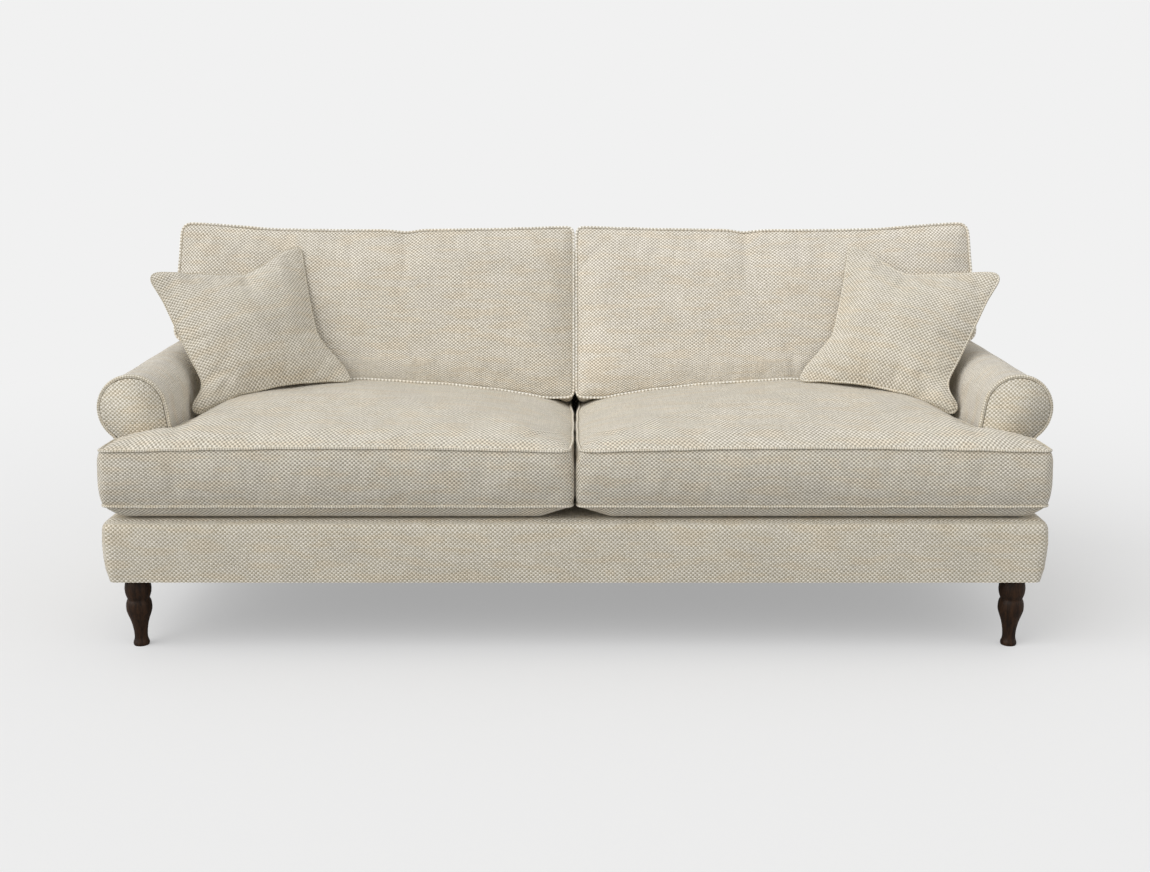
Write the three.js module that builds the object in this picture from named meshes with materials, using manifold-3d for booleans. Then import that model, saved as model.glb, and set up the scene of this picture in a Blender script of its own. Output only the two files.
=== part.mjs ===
// English roll arm sofa: a two-seat-cushion settee on turned front legs, in millimetres, +Z up.
// X runs across the sofa with the sitter looking along -Y. Y is measured from the front of the seat cushions.
// The exported group is moved by half the depth, so its origin is the middle of the footprint on the floor.
import * as THREE from "three";
import { mergeVertices } from "three/addons/utils/BufferGeometryUtils.js";
import Module from "manifold-3d";

const wasm = await Module();
wasm.setup();

// Fits: the air between flat faces, between rounded faces, between pressed soft faces and where a
// cushion leans on another, and how far a cutting solid runs past what it cuts
const clear = 0.3;
const roundClear = 0.7;
const pressedClear = 0.45;
const leanClear = 0.7;
const overrun = 40;

// Base frame and its cover
const baseWidth = 2206;
const baseSetback = 16;
const baseHeight = 149;
const legHeight = 170;
const borderThickness = 8;
const borderReturn = 44;
const borderCornerRadius = 18;
const coverHem = 2;
const railThickness = 32;
const frontRailThickness = 22;
const railHeight = 133;
const centreRailHeight = 113;
const dustCoverThickness = 2;
const webbingThickness = 2;

// Arms, with heights counted from the deck
const armSetback = 155;
const armRollRadius = 82;
const armRollOverhang = 37;
const armRollRise = 235;
const armFootSpread = 116;
const armPadThickness = 16;
const armBoardThickness = 9;
const armBoardHeight = 220;
const armRailWidth = 45;
const armRailHeight = 45;
const stumpThickness = 25;
const facingThickness = 7;
const facingSetback = 3;
const pipingDiameter = 9;
const pipingProud = 2.5;

// Back, with heights counted from the deck
const backReclineDegrees = 12;
const backSeatDepth = 791;
const backRise = 534;
const insideBackThickness = 16;
const backTimberDepth = 60;
const postWidth = 45;
const topRailHeight = 60;
const lowerRailHeight = 60;
const lowerRailRise = 44;
const lowerRailThickness = 22;

// Legs and their fixings
const legInset = 62;
const rearLegSetback = 30;
const turnedLegDiameter = 65;
const rearLegTopWidth = 52;
const rearLegFootWidth = 34;
const rearLegRake = 34;
const legCutoutClear = 8;
const blockSide = 88;
const blockHeight = 63;
const blockCut = 58;
const boltDiameter = 8;
const boltInLeg = 27;
const boltInBlock = 48;

// Webbing nets
const webStrap = 60;
const webGap = 118;
const webLap = 18;
const webLowLap = 9;
const webFromArm = 14;

// Seat cushions: heights count from the deck, and the boxing is the band between the two welts
const seatGap = 4;
const seatSideInset = 3;
const seatBulge = 4;
const seatWeltRise = 37;
const seatBoxing = 126;
const seatWeltBow = 9;
const seatCrown = 50;
const seatCrownReach = 350;
const seatUndersideReach = 60;
const seatEarClear = 4;
const seatArmClear = 6;
const seatRearClear = 5;
const seatCornerRadius = 18;
const faceInset = 32;
const seatCoreInset = 62;
const seatCoreRise = 30;
const seatCoreHeight = 120;

// Back cushions: heights count from the upper welt of the seat, and depths from the front of the back
const backCushionSideInset = 13;
const backCushionStand = 8;
const backCushionHeight = 451;
const backCushionTopDrop = 46;
const backCushionDepth = 219;
const backCushionLean = 198;
const backCushionBulge = 5;
const backCushionBelly = 24;
const backCushionBellyReach = 240;
const backCushionEarLift = 2;
const backCushionArmClear = 8;
const backCushionCornerRadius = 24;
const backEdgeThickness = 22;
const backRearReach = 44;
const backFillInset = 46;
const backFillRise = 90;
const backFillHeight = 302;

// Zips in the rear of the cushion covers
const zipLength = 700;
const zipHeight = 30;
const zipThickness = 9;
const zipSunk = 3;
const backZipRise = 96;

// Scatter cushions: the middle of each from the arm roll, the foot of the back cushion and the
// upper welt of the seat, and how it is turned where it leans in the corner
const scatterSize = 420;
const scatterThickness = 128;
const scatterPull = 27;
const scatterTopDip = 14;
const scatterRim = 5;
const scatterFromArm = 210;
const scatterForward = 48;
const scatterRise = 213;
const scatterTurnDegrees = 24.6;
const scatterLeanDegrees = 35.4;
const scatterRollDegrees = 8.5;
const scatterPadInset = 46;
const scatterPadThickness = 52;
const scatterSlitLength = 220;

// Places worked out from the sizes above
const deckTop = baseHeight + legHeight;
const railTop = legHeight + railHeight;
const webTop = railTop + clear + webbingThickness;
const deckBottom = webTop + clear;
const coverBottom = legHeight - coverHem;
const recline = Math.tan(THREE.MathUtils.degToRad(backReclineDegrees));
const backHeight = deckTop + backRise;
const backWebFront = insideBackThickness + clear;
const timberFront = backWebFront + webbingThickness + clear;
const timberRear = timberFront + backTimberDepth;
const outsideFront = timberRear + clear;
const outsideRear = outsideFront + borderThickness;
const sideFace = baseWidth / 2;
const panelInner = sideFace - borderThickness;
const timberSide = panelInner - clear;
const railInner = timberSide - railThickness;
const postInner = timberSide - postWidth;
const frontRailFront = baseSetback + borderThickness + clear;
const frontRailRear = frontRailFront + frontRailThickness;
const armRollX = sideFace + armRollOverhang - armRollRadius;
const armRollHeight = deckTop + armRollRise;
const armFootX = armRollX - armFootSpread;
const facingRear = armSetback + facingSetback + facingThickness;
const stumpFront = facingRear + clear;
const stumpRear = stumpFront + stumpThickness;
const pipingInset = pipingDiameter / 2 - pipingProud;
const facingInset = pipingInset + pipingDiameter / 2 + clear;
const backTopRailLow = backHeight - borderThickness - clear - topRailHeight;
const webHalfWidth = armFootX - webFromArm;
const seatWeltLow = deckTop + seatWeltRise;
const seatWeltHigh = seatWeltLow + seatBoxing;

// The padded front of the back leans away from the sitter: its Y at a height, moved back by an offset
function backY(z, offset = 0) {
  return backSeatDepth + (z - deckTop) * recline + offset;
}
const overallDepth = backY(backHeight, outsideRear);
const legX = sideFace - legInset;
const frontLegY = frontRailFront + turnedLegDiameter / 2 + roundClear;
const rearLegY = backY(legHeight, timberFront) - rearLegSetback;

// The arm's inner side is a straight line that runs up into the roll. An inset moves line and roll inwards.
const armFootToRoll = new THREE.Vector2(armRollX - armFootX, armRollHeight - deckTop);
const armLineAngle = armFootToRoll.angle() + Math.asin(armRollRadius / armFootToRoll.length());
const armTouchAngle = armLineAngle + Math.PI / 2;
function armTouch(inset) {
  const reach = armRollRadius - inset;
  const x = armRollX + reach * Math.cos(armTouchAngle);
  return new THREE.Vector2(x, armRollHeight + reach * Math.sin(armTouchAngle));
}
function armInnerX(z, inset = 0) {
  const touch = armTouch(inset);
  return touch.x - (touch.y - z) / Math.tan(armLineAngle);
}
function rollAngleAt(x, radius) {
  return Math.acos((x - armRollX) / radius);
}

const looks = {
  fabric: { color: 0xd6cdba, roughness: 0.95, metalness: 0 },
  walnut: { color: 0x33251c, roughness: 0.45, metalness: 0 },
  beech: { color: 0xc9a577, roughness: 0.7, metalness: 0 },
  plywood: { color: 0xbf9a68, roughness: 0.75, metalness: 0 },
  foam: { color: 0xefe6c8, roughness: 1, metalness: 0 },
  fibre: { color: 0xf4f2ec, roughness: 1, metalness: 0 },
  webbing: { color: 0x8f7a55, roughness: 0.95, metalness: 0 },
  lining: { color: 0x24221f, roughness: 1, metalness: 0 },
  steel: { color: 0xa9adb0, roughness: 0.35, metalness: 1 },
};

const sofa = new THREE.Group();
const body = new THREE.Group();
body.position.y = -overallDepth / 2;
sofa.add(body);

function addPiece(name, geometry, look) {
  const mesh = new THREE.Mesh(geometry, new THREE.MeshStandardMaterial(looks[look]));
  mesh.name = name;
  body.add(mesh);
  return mesh;
}

// The geometry is drawn on the +X side, and the -X side gets its mirror image
function addPair(name, geometry, look) {
  addPiece(name + "_right", geometry, look);
  addPiece(name + "_left", geometry, look).scale.x = -1;
}

// Closed solids for cutting
function solidOf(geometry) {
  const bare = new THREE.BufferGeometry();
  const flat = geometry.index ? geometry.toNonIndexed() : geometry;
  bare.setAttribute("position", flat.getAttribute("position").clone());
  const merged = mergeVertices(bare, 1e-4);
  const vertProperties = merged.attributes.position.array;
  const triVerts = new Uint32Array(merged.index.array);
  return new wasm.Manifold(new wasm.Mesh({ numProp: 3, vertProperties, triVerts }));
}
function geometryOf(solid) {
  const mesh = solid.getMesh();
  const geometry = new THREE.BufferGeometry();
  const position = new Float32Array(mesh.numVert * 3);
  for (let i = 0; i < mesh.numVert; i++) {
    const start = i * mesh.numProp;
    position.set(mesh.vertProperties.subarray(start, start + 3), i * 3);
  }
  geometry.setAttribute("position", new THREE.BufferAttribute(position, 3));
  geometry.setIndex(new THREE.BufferAttribute(new Uint32Array(mesh.triVerts), 1));
  geometry.computeVertexNormals();
  return geometry;
}
function cut(geometry, ...tools) {
  let solid = solidOf(geometry);
  for (const tool of tools) solid = solid.subtract(solidOf(tool));
  return geometryOf(solid);
}

// Simple solids: a block between two corners, and outlines drawn out along X, Y or Z
function block(low, high) {
  const size = new THREE.Vector3().subVectors(high, low);
  const geometry = new THREE.BoxGeometry(size.x, size.y, size.z);
  return geometry.translate(low.x + size.x / 2, low.y + size.y / 2, low.z + size.z / 2);
}
function v3(x, y, z) {
  return new THREE.Vector3(x, y, z);
}
function shapeOf(points) {
  return new THREE.Shape(points.map(([a, b]) => new THREE.Vector2(a, b)));
}
function drawn(shape, curveSegments = 12) {
  return new THREE.ExtrudeGeometry(shape, { depth: 1, steps: 1, bevelEnabled: false, curveSegments });
}
function reshape(geometry, place) {
  const at = geometry.getAttribute("position");
  for (let i = 0; i < at.count; i++) at.setXYZ(i, ...place(at.getX(i), at.getY(i), at.getZ(i)));
  geometry.deleteAttribute("normal");
  geometry.deleteAttribute("uv");
  geometry.computeVertexNormals();
  return geometry;
}
// A side view outline of (Y, Z) points, drawn out from one X to another
function acrossX(points, x0, x1) {
  return reshape(drawn(shapeOf(points)), (a, b, t) => [x0 + (x1 - x0) * t, a, b]);
}
// A front view shape in X and Z, from a front Y to a rear Y, either of which may change with height
function alongY(shape, front, rear, curveSegments) {
  return reshape(drawn(shape, curveSegments), (a, b, t) => [a, t > 0.5 ? front(b) : rear(b), b]);
}
function upZ(shape, z0, z1, curveSegments) {
  return reshape(drawn(shape, curveSegments), (a, b, t) => [a, b, z0 + (z1 - z0) * t]);
}
// A slice of the leaning back between two heights and two offsets from its padded front
function backSlice(z0, z1, near, far) {
  return [[backY(z0, near), z0], [backY(z0, far), z0], [backY(z1, far), z1], [backY(z1, near), z1]];
}
function rectangle(x0, y0, x1, y1) {
  return shapeOf([[x0, y0], [x1, y0], [x1, y1], [x0, y1]]);
}

// Base frame
const frontRailLow = v3(-timberSide, frontRailFront, legHeight);
addPiece("front_rail", block(frontRailLow, v3(timberSide, frontRailRear, railTop)), "beech");

function frontToBack(height) {
  const start = frontRailRear + clear;
  const rear = timberFront - clear;
  const top = legHeight + height;
  return [[start, legHeight], [backY(legHeight, rear), legHeight], [backY(top, rear), top], [start, top]];
}
addPair("side_rail", acrossX(frontToBack(railHeight), railInner, timberSide), "beech");
const centreRail = acrossX(frontToBack(centreRailHeight), -railThickness / 2, railThickness / 2);
addPiece("centre_rail", centreRail, "beech");

const backRailSlice = backSlice(legHeight, railTop, timberFront, timberFront + railThickness);
addPiece("back_rail", acrossX(backRailSlice, clear - postInner, postInner - clear), "beech");

// Corner blocks carry the leg bolts. Each is square with its inner corner sawn off.
const boltHoleRadius = boltDiameter / 2 + clear;
function cornerBlock(y0, direction) {
  const x1 = railInner - clear;
  const x0 = x1 - blockSide;
  const y1 = y0 + blockSide * direction;
  const cutY = y1 - blockCut * direction;
  const shape = shapeOf([[x0, y0], [x1, y0], [x1, y1], [x0 + blockCut, y1], [x0, cutY]]);
  return upZ(shape, legHeight, legHeight + blockHeight);
}
function boltHole(y) {
  const hole = new THREE.CylinderGeometry(boltHoleRadius, boltHoleRadius, blockHeight + 2 * overrun, 16);
  return hole.rotateX(Math.PI / 2).translate(legX, y, legHeight + blockHeight / 2);
}
const rearBlockY = backY(legHeight, timberFront) - clear;
const frontBlock = cut(cornerBlock(frontRailRear + clear, 1), boltHole(frontLegY));
addPair("front_corner_block", frontBlock, "beech");
addPair("rear_corner_block", cut(cornerBlock(rearBlockY, -1), boltHole(rearLegY)), "beech");

// Back frame
const postTop = backTopRailLow - clear;
const postSlice = backSlice(legHeight, postTop, timberFront, timberRear);
addPair("back_post", acrossX(postSlice, postInner, timberSide), "beech");
const lowerRailLow = deckTop + lowerRailRise;
const lowerRailRear = timberFront + lowerRailThickness;
const centrePostSlice = backSlice(railTop + clear, postTop, lowerRailRear + clear, timberRear);
addPiece("centre_back_post", acrossX(centrePostSlice, -postWidth / 2, postWidth / 2), "beech");
const lowerRailSlice = backSlice(lowerRailLow, lowerRailLow + lowerRailHeight, timberFront, lowerRailRear);
addPiece("lower_back_rail", acrossX(lowerRailSlice, clear - postInner, postInner - clear), "beech");
const topRailSlice = backSlice(backTopRailLow, backTopRailLow + topRailHeight, timberFront, timberRear);
addPiece("back_top_rail", acrossX(topRailSlice, -timberSide, timberSide), "beech");

// Webbing is one flat net of straps, stapled to the rails. It is drawn 1 thick and then put in its place.
function net(low, high, across, along) {
  const sheet = block(v3(low.x, low.y, 0), v3(high.x, high.y, 1));
  const pitchX = (high.x - low.x - webStrap) / across;
  const pitchY = (high.y - low.y - webStrap) / along;
  const holes = [];
  for (let i = 0; i < across; i++)
    for (let j = 0; j < along; j++) {
      const x = low.x + webStrap + i * pitchX;
      const y = low.y + webStrap + j * pitchY;
      holes.push(block(v3(x, y, -1), v3(x + pitchX - webStrap, y + pitchY - webStrap, 2)));
    }
  return cut(sheet, ...holes);
}
function gapsIn(length) {
  return Math.max(1, Math.round((length - webStrap) / (webStrap + webGap)));
}
const seatWebLow = new THREE.Vector2(-webHalfWidth, frontRailRear - webLap);
const seatWebHigh = new THREE.Vector2(webHalfWidth, backY(railTop, timberFront) + webLap);
const webAcross = gapsIn(2 * webHalfWidth);
const seatNet = net(seatWebLow, seatWebHigh, webAcross, gapsIn(seatWebHigh.y - seatWebLow.y));
const seatNetPlace = (a, b, t) => [a, b, railTop + clear + webbingThickness * t];
addPiece("seat_webbing", reshape(seatNet, seatNetPlace), "webbing");

const backWebLow = new THREE.Vector2(-webHalfWidth, lowerRailLow + webLowLap);
const backWebHigh = new THREE.Vector2(webHalfWidth, backTopRailLow + webLap);
const backNet = net(backWebLow, backWebHigh, webAcross, gapsIn(backWebHigh.y - backWebLow.y));
const backNetPlace = (a, b, t) => [a, backY(b, backWebFront + webbingThickness * (1 - t)), b];
addPiece("back_webbing", reshape(backNet, backNetPlace), "webbing");

// Arm frame: a board behind the facing, a rail through the roll and a board under the inner padding
function armOutline(inset, low, outerX) {
  const radius = armRollRadius - inset;
  const touch = armTouch(inset);
  const shape = new THREE.Shape();
  shape.moveTo(armInnerX(low, inset), low);
  shape.lineTo(touch.x, touch.y);
  shape.absarc(armRollX, armRollHeight, radius, armTouchAngle, -rollAngleAt(outerX, radius), true);
  shape.lineTo(outerX, low);
  return shape;
}
const underPad = armPadThickness + roundClear;
const stump = armOutline(underPad, railTop + clear, timberSide);
addPair("arm_stump", alongY(stump, () => stumpFront, () => stumpRear, 10), "beech");

const armRailLow = armRollHeight - armRailHeight / 2;
const armRailHigh = armRailLow + armRailHeight;
function armPieceRear(z) {
  return backY(z, timberFront - clear);
}
const armRail = rectangle(timberSide - armRailWidth, armRailLow, timberSide, armRailHigh);
const behindStump = () => stumpRear + clear;
addPair("arm_top_rail", alongY(armRail, behindStump, armPieceRear), "beech");

const boardTop = deckBottom + armBoardHeight;
const armBoard = shapeOf([
  [armInnerX(deckBottom, underPad), deckBottom],
  [armInnerX(deckBottom, underPad + armBoardThickness), deckBottom],
  [armInnerX(boardTop, underPad + armBoardThickness), boardTop],
  [armInnerX(boardTop, underPad), boardTop],
]);
addPair("arm_inner_board", alongY(armBoard, behindStump, armPieceRear), "plywood");

// Arm padding and cover: it rises from the deck, goes over the roll and ends under it, above the outer panel
function armPad() {
  const innerRadius = armRollRadius - armPadThickness;
  const end = -rollAngleAt(panelInner, innerRadius);
  const touch = armTouch(0);
  const shape = new THREE.Shape();
  shape.moveTo(armInnerX(deckBottom), deckBottom);
  shape.lineTo(touch.x, touch.y);
  shape.absarc(armRollX, armRollHeight, armRollRadius, armTouchAngle, end, true);
  const turn = new THREE.Vector2(Math.cos(end), Math.sin(end)).multiplyScalar(innerRadius);
  shape.lineTo(armRollX + turn.x, armRollHeight + turn.y);
  shape.absarc(armRollX, armRollHeight, innerRadius, end, armTouchAngle, false);
  shape.lineTo(armInnerX(deckBottom, armPadThickness), deckBottom);
  const whole = alongY(shape, () => stumpFront, (z) => backY(z, outsideRear), 20);
  const top = armRollHeight + armRollRadius + overrun;
  const behind = backSlice(legHeight, top, timberFront - clear, outsideRear + overrun);
  return cut(whole, acrossX(behind, 0, sideFace + clear));
}
const armPadGeometry = armPad();
addPair("arm_pad", armPadGeometry, "fabric");

const facing = armOutline(facingInset, deckTop + clear, sideFace - facingInset);
const facingFront = () => armSetback + facingSetback;
addPair("arm_facing", alongY(facing, facingFront, () => facingRear, 16), "fabric");

// Piping follows the edge of the facing, from the deck over the roll and down the outer side
function armPiping() {
  const radius = armRollRadius - pipingInset;
  const low = deckTop + pipingDiameter / 2;
  const outerX = sideFace - pipingInset;
  const endAngle = -rollAngleAt(outerX, radius);
  const y = armSetback + pipingDiameter / 2;
  const touch = armTouch(pipingInset);
  const points = [v3(armInnerX(low, pipingInset), y, low)];
  const lineSteps = 3;
  for (let i = 1; i < lineSteps; i++)
    points.push(points[0].clone().lerp(v3(touch.x, y, touch.y), i / lineSteps));
  const arcSteps = 22;
  for (let i = 0; i <= arcSteps; i++) {
    const angle = armTouchAngle + (endAngle - armTouchAngle) * (i / arcSteps);
    points.push(v3(armRollX + radius * Math.cos(angle), y, armRollHeight + radius * Math.sin(angle)));
  }
  const last = points[points.length - 1];
  const foot = v3(outerX, y, low);
  for (let i = 1; i <= lineSteps; i++) points.push(last.clone().lerp(foot, i / lineSteps));
  return tubeThrough(points, pipingDiameter / 2, 6);
}

// A tube of flat-sided section through points that lie in one XZ plane, closed at both ends
function tubeThrough(points, radius, sides) {
  const rings = points.map((point, i) => {
    const before = points[Math.max(i - 1, 0)];
    const after = points[Math.min(i + 1, points.length - 1)];
    const ahead = after.clone().sub(before).normalize();
    const side = new THREE.Vector3(0, 1, 0);
    const out = new THREE.Vector3().crossVectors(ahead, side);
    const ring = [];
    for (let k = 0; k < sides; k++) {
      const turn = (2 * Math.PI * k) / sides;
      const spoke = side.clone().multiplyScalar(Math.cos(turn)).addScaledVector(out, Math.sin(turn));
      ring.push(point.clone().addScaledVector(spoke, radius));
    }
    return ring;
  });
  return closedSkin(rings, points[0], points[points.length - 1]);
}

// A skin over rings of equally many points, closed by a fan to a pole at each end. Seen from the
// last pole, each ring runs anticlockwise.
function closedSkin(rings, firstPole, lastPole) {
  const around = rings[0].length;
  const points = rings.flat().concat([firstPole, lastPole]);
  const first = points.length - 2;
  const last = points.length - 1;
  const faces = [];
  for (let i = 0; i < around; i++) {
    const next = (i + 1) % around;
    faces.push(first, next, i);
    for (let r = 0; r + 1 < rings.length; r++) {
      const near = r * around;
      const far = near + around;
      faces.push(near + i, near + next, far + next, near + i, far + next, far + i);
    }
    const top = (rings.length - 1) * around;
    faces.push(last, top + i, top + next);
  }
  const geometry = new THREE.BufferGeometry().setFromPoints(points);
  geometry.setIndex(faces);
  geometry.computeVertexNormals();
  return geometry;
}
addPair("arm_piping", armPiping(), "fabric");

// Outer panels of the base and arms
function frontBorder() {
  const rear = baseSetback + borderReturn;
  const shape = new THREE.Shape();
  const r = borderCornerRadius;
  shape.moveTo(-sideFace, rear);
  shape.lineTo(-sideFace, baseSetback + r);
  shape.absarc(-sideFace + r, baseSetback + r, r, Math.PI, 1.5 * Math.PI, false);
  shape.lineTo(sideFace - r, baseSetback);
  shape.absarc(sideFace - r, baseSetback + r, r, 1.5 * Math.PI, 2 * Math.PI, false);
  shape.lineTo(sideFace, rear);
  shape.lineTo(panelInner, rear);
  shape.lineTo(panelInner, baseSetback + borderThickness);
  shape.lineTo(-panelInner, baseSetback + borderThickness);
  shape.lineTo(-panelInner, rear);
  return upZ(shape, coverBottom, deckTop, 5);
}
addPiece("front_border", frontBorder(), "fabric");

const panelUnderRoll = armRollHeight - Math.sqrt(armRollRadius ** 2 - (panelInner - armRollX) ** 2) - clear;
const panelStart = baseSetback + borderReturn + clear;
const panelRear = timberFront - clear;
const outsideArm = [
  [panelStart, coverBottom],
  [backY(coverBottom, panelRear), coverBottom],
  [backY(panelUnderRoll, panelRear), panelUnderRoll],
  [stumpFront, panelUnderRoll],
  [stumpFront, deckTop],
  [panelStart, deckTop],
];
addPair("outside_arm", acrossX(outsideArm, panelInner, sideFace), "fabric");

// Inside back: a padded panel between the arms, which widens above the rolls
function insideBack() {
  const radius = armRollRadius + roundClear;
  const touch = armTouch(-roundClear);
  const over = rollAngleAt(sideFace, radius);
  const shape = new THREE.Shape();
  shape.moveTo(-armInnerX(deckBottom, -roundClear), deckBottom);
  shape.lineTo(armInnerX(deckBottom, -roundClear), deckBottom);
  shape.lineTo(touch.x, touch.y);
  shape.absarc(armRollX, armRollHeight, radius, armTouchAngle, over, true);
  shape.lineTo(sideFace, backHeight);
  shape.lineTo(-sideFace, backHeight);
  shape.absarc(-armRollX, armRollHeight, radius, Math.PI - over, Math.PI - armTouchAngle, true);
  return alongY(shape, (z) => backY(z), (z) => backY(z, insideBackThickness), 10);
}
addPiece("inside_back", insideBack(), "fabric");

// Outside back: a shallow tray that wraps the rear, the sides and the top of the back frame
function outsideBack() {
  const whole = backSlice(coverBottom, backHeight, timberFront, outsideRear);
  const hollowTop = backHeight - borderThickness;
  const hollow = backSlice(coverBottom - overrun, hollowTop, timberFront - overrun, outsideFront);
  return cut(acrossX(whole, -sideFace, sideFace), acrossX(hollow, -panelInner, panelInner));
}
addPiece("outside_back", outsideBack(), "fabric");

// Deck under the seat cushions, as wide as the base in front of the arms
const deckNarrow = armInnerX(deckBottom) - clear;
const deckRear = backY(deckBottom) - clear;
const deckStep = facingRear;
const deckShape = shapeOf([
  [-timberSide, frontRailFront], [timberSide, frontRailFront], [timberSide, deckStep], [deckNarrow, deckStep],
  [deckNarrow, deckRear], [-deckNarrow, deckRear], [-deckNarrow, deckStep], [-timberSide, deckStep],
]);
addPiece("seat_deck", upZ(deckShape, deckBottom, deckTop), "lining");

// Dust cover under the rails, cut away round the four legs
const legTop = legHeight - clear;
function dustCover() {
  const low = legTop - dustCoverThickness;
  const rear = backY(low, outsideFront) - clear;
  const sheet = block(v3(-timberSide, frontRailFront, low), v3(timberSide, rear, legTop));
  const half = turnedLegDiameter / 2 + legCutoutClear;
  const holes = [];
  for (const side of [-1, 1])
    for (const y of [frontLegY, rearLegY]) {
      const outer = timberSide + overrun;
      const x0 = side < 0 ? -outer : legX - half;
      const x1 = side < 0 ? half - legX : outer;
      const y0 = y === frontLegY ? -overrun : y - half;
      holes.push(block(v3(x0, y0, low - overrun), v3(x1, y + half, legTop + overrun)));
    }
  return cut(sheet, ...holes);
}
addPiece("dust_cover", dustCover(), "lining");

// Front legs, turned: shares of the leg's height from the floor, and of its widest radius
const turnedLegShares = [
  [0, 0.5], [0.012, 0.56], [0.06, 0.595], [0.105, 0.58], [0.14, 0.505], [0.19, 0.485], [0.255, 0.49],
  [0.31, 0.53], [0.385, 0.63], [0.47, 0.78], [0.545, 0.9], [0.64, 0.975], [0.715, 0.915], [0.757, 0.84],
  [0.8, 0.875], [0.855, 0.965], [0.915, 1], [0.965, 0.975], [1, 0.92],
];
const boreFloor = legTop - boltInLeg - clear;
function turnedLeg() {
  const radius = turnedLegDiameter / 2;
  const outer = turnedLegShares.map(([up, out]) => new THREE.Vector2(out * radius, up * legTop));
  const bore = [new THREE.Vector2(boltHoleRadius, legTop), new THREE.Vector2(boltHoleRadius, boreFloor)];
  const profile = [new THREE.Vector2(0, 0), ...outer, ...bore, new THREE.Vector2(0, boreFloor)];
  return new THREE.LatheGeometry(profile, 20).rotateX(Math.PI / 2).translate(legX, frontLegY, 0);
}
addPair("front_leg", turnedLeg(), "walnut");

// Rear legs: square, tapered, and raked towards the rear
function rearLeg() {
  const ring = (width, y, z) => {
    const h = width / 2;
    return [v3(legX - h, y - h, z), v3(legX + h, y - h, z), v3(legX + h, y + h, z), v3(legX - h, y + h, z)];
  };
  const footY = rearLegY + rearLegRake;
  const rings = [ring(rearLegFootWidth, footY, 0), ring(rearLegTopWidth, rearLegY, legTop)];
  const leg = closedSkin(rings, v3(legX, footY, 0), v3(legX, rearLegY, legTop));
  const bore = new THREE.CylinderGeometry(boltHoleRadius, boltHoleRadius, 2 * (legTop - boreFloor), 16);
  return cut(leg, bore.rotateX(Math.PI / 2).translate(legX, rearLegY, legTop));
}
addPair("rear_leg", rearLeg(), "walnut");

function legBolt(y) {
  const length = boltInLeg + clear + boltInBlock;
  const bolt = new THREE.CylinderGeometry(boltDiameter / 2, boltDiameter / 2, length, 16);
  return bolt.rotateX(Math.PI / 2).translate(legX, y, legTop - boltInLeg + length / 2);
}
addPair("front_leg_bolt", legBolt(frontLegY), "steel");
addPair("rear_leg_bolt", legBolt(rearLegY), "steel");

// Cushion outlines: a loop of straight edges and rounded corners with a set number of points.
// Each corner is [x, y, radius, segments on the edge that follows it], anticlockwise.
const cornerSteps = 3;
const cornerRoomShare = 0.45;
function roundedLoop(corners) {
  const parts = corners.map(([x, y, radius], i) => {
    const [bx, by] = corners[(i + corners.length - 1) % corners.length];
    const [ax, ay] = corners[(i + 1) % corners.length];
    const back = new THREE.Vector2(bx - x, by - y);
    const ahead = new THREE.Vector2(ax - x, ay - y);
    const half = Math.acos(back.dot(ahead) / (back.length() * ahead.length())) / 2;
    const room = Math.min(back.length(), ahead.length()) * cornerRoomShare;
    const reach = Math.min(radius / Math.tan(half), room);
    back.normalize();
    ahead.normalize();
    const from = back.clone().multiplyScalar(reach);
    const to = ahead.clone().multiplyScalar(reach);
    const points = [];
    for (let k = 0; k <= cornerSteps; k++) {
      const t = k / cornerSteps;
      const bend = from.clone().multiplyScalar((1 - t) ** 2).addScaledVector(to, t ** 2);
      points.push(new THREE.Vector2(x, y).add(bend));
    }
    return points;
  });
  return parts.flatMap((points, i) => {
    const next = parts[(i + 1) % parts.length][0];
    const end = points[points.length - 1];
    const segments = corners[i][3];
    const edge = [];
    for (let k = 1; k < segments; k++) edge.push(end.clone().lerp(next, k / segments));
    return points.concat(edge);
  });
}
// The same corners moved inwards, so that two loops can be joined point to point
function insetCorners(corners, inset) {
  return corners.map(([x, y, radius, segments], i) => {
    const [bx, by] = corners[(i + corners.length - 1) % corners.length];
    const [ax, ay] = corners[(i + 1) % corners.length];
    const into = new THREE.Vector2(x - bx, y - by).normalize();
    const out = new THREE.Vector2(ax - x, ay - y).normalize();
    const n1 = new THREE.Vector2(-into.y, into.x);
    const n2 = new THREE.Vector2(-out.y, out.x);
    const share = inset / (1 + n1.dot(n2));
    const turnsLeft = into.cross(out) > 0;
    const newRadius = turnsLeft ? Math.max(radius - inset, radius / 3) : radius + inset;
    return [x + (n1.x + n2.x) * share, y + (n1.y + n2.y) * share, newRadius, segments];
  });
}
function edgeDistance(x, y, loop) {
  const point = new THREE.Vector2(x, y);
  let least = Infinity;
  loop.forEach((from, i) => {
    const along = loop[(i + 1) % loop.length].clone().sub(from);
    const offset = point.clone().sub(from);
    const share = THREE.MathUtils.clamp(offset.dot(along) / along.lengthSq(), 0, 1);
    least = Math.min(least, offset.addScaledVector(along, -share).length());
  });
  return least;
}
// How full a filled cover is at a distance from its seam: 0 at the seam and 1 past the reach
const fullnessPower = 2.25;
function fullness(distance, reach) {
  return 1 - (1 - Math.min(distance / reach, 1)) ** fullnessPower;
}
function outwards(loop, i, amount) {
  const before = loop[(i + loop.length - 1) % loop.length];
  const after = loop[(i + 1) % loop.length];
  const along = after.clone().sub(before).normalize();
  return loop[i].clone().add(new THREE.Vector2(along.y, -along.x).multiplyScalar(amount));
}

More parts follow.
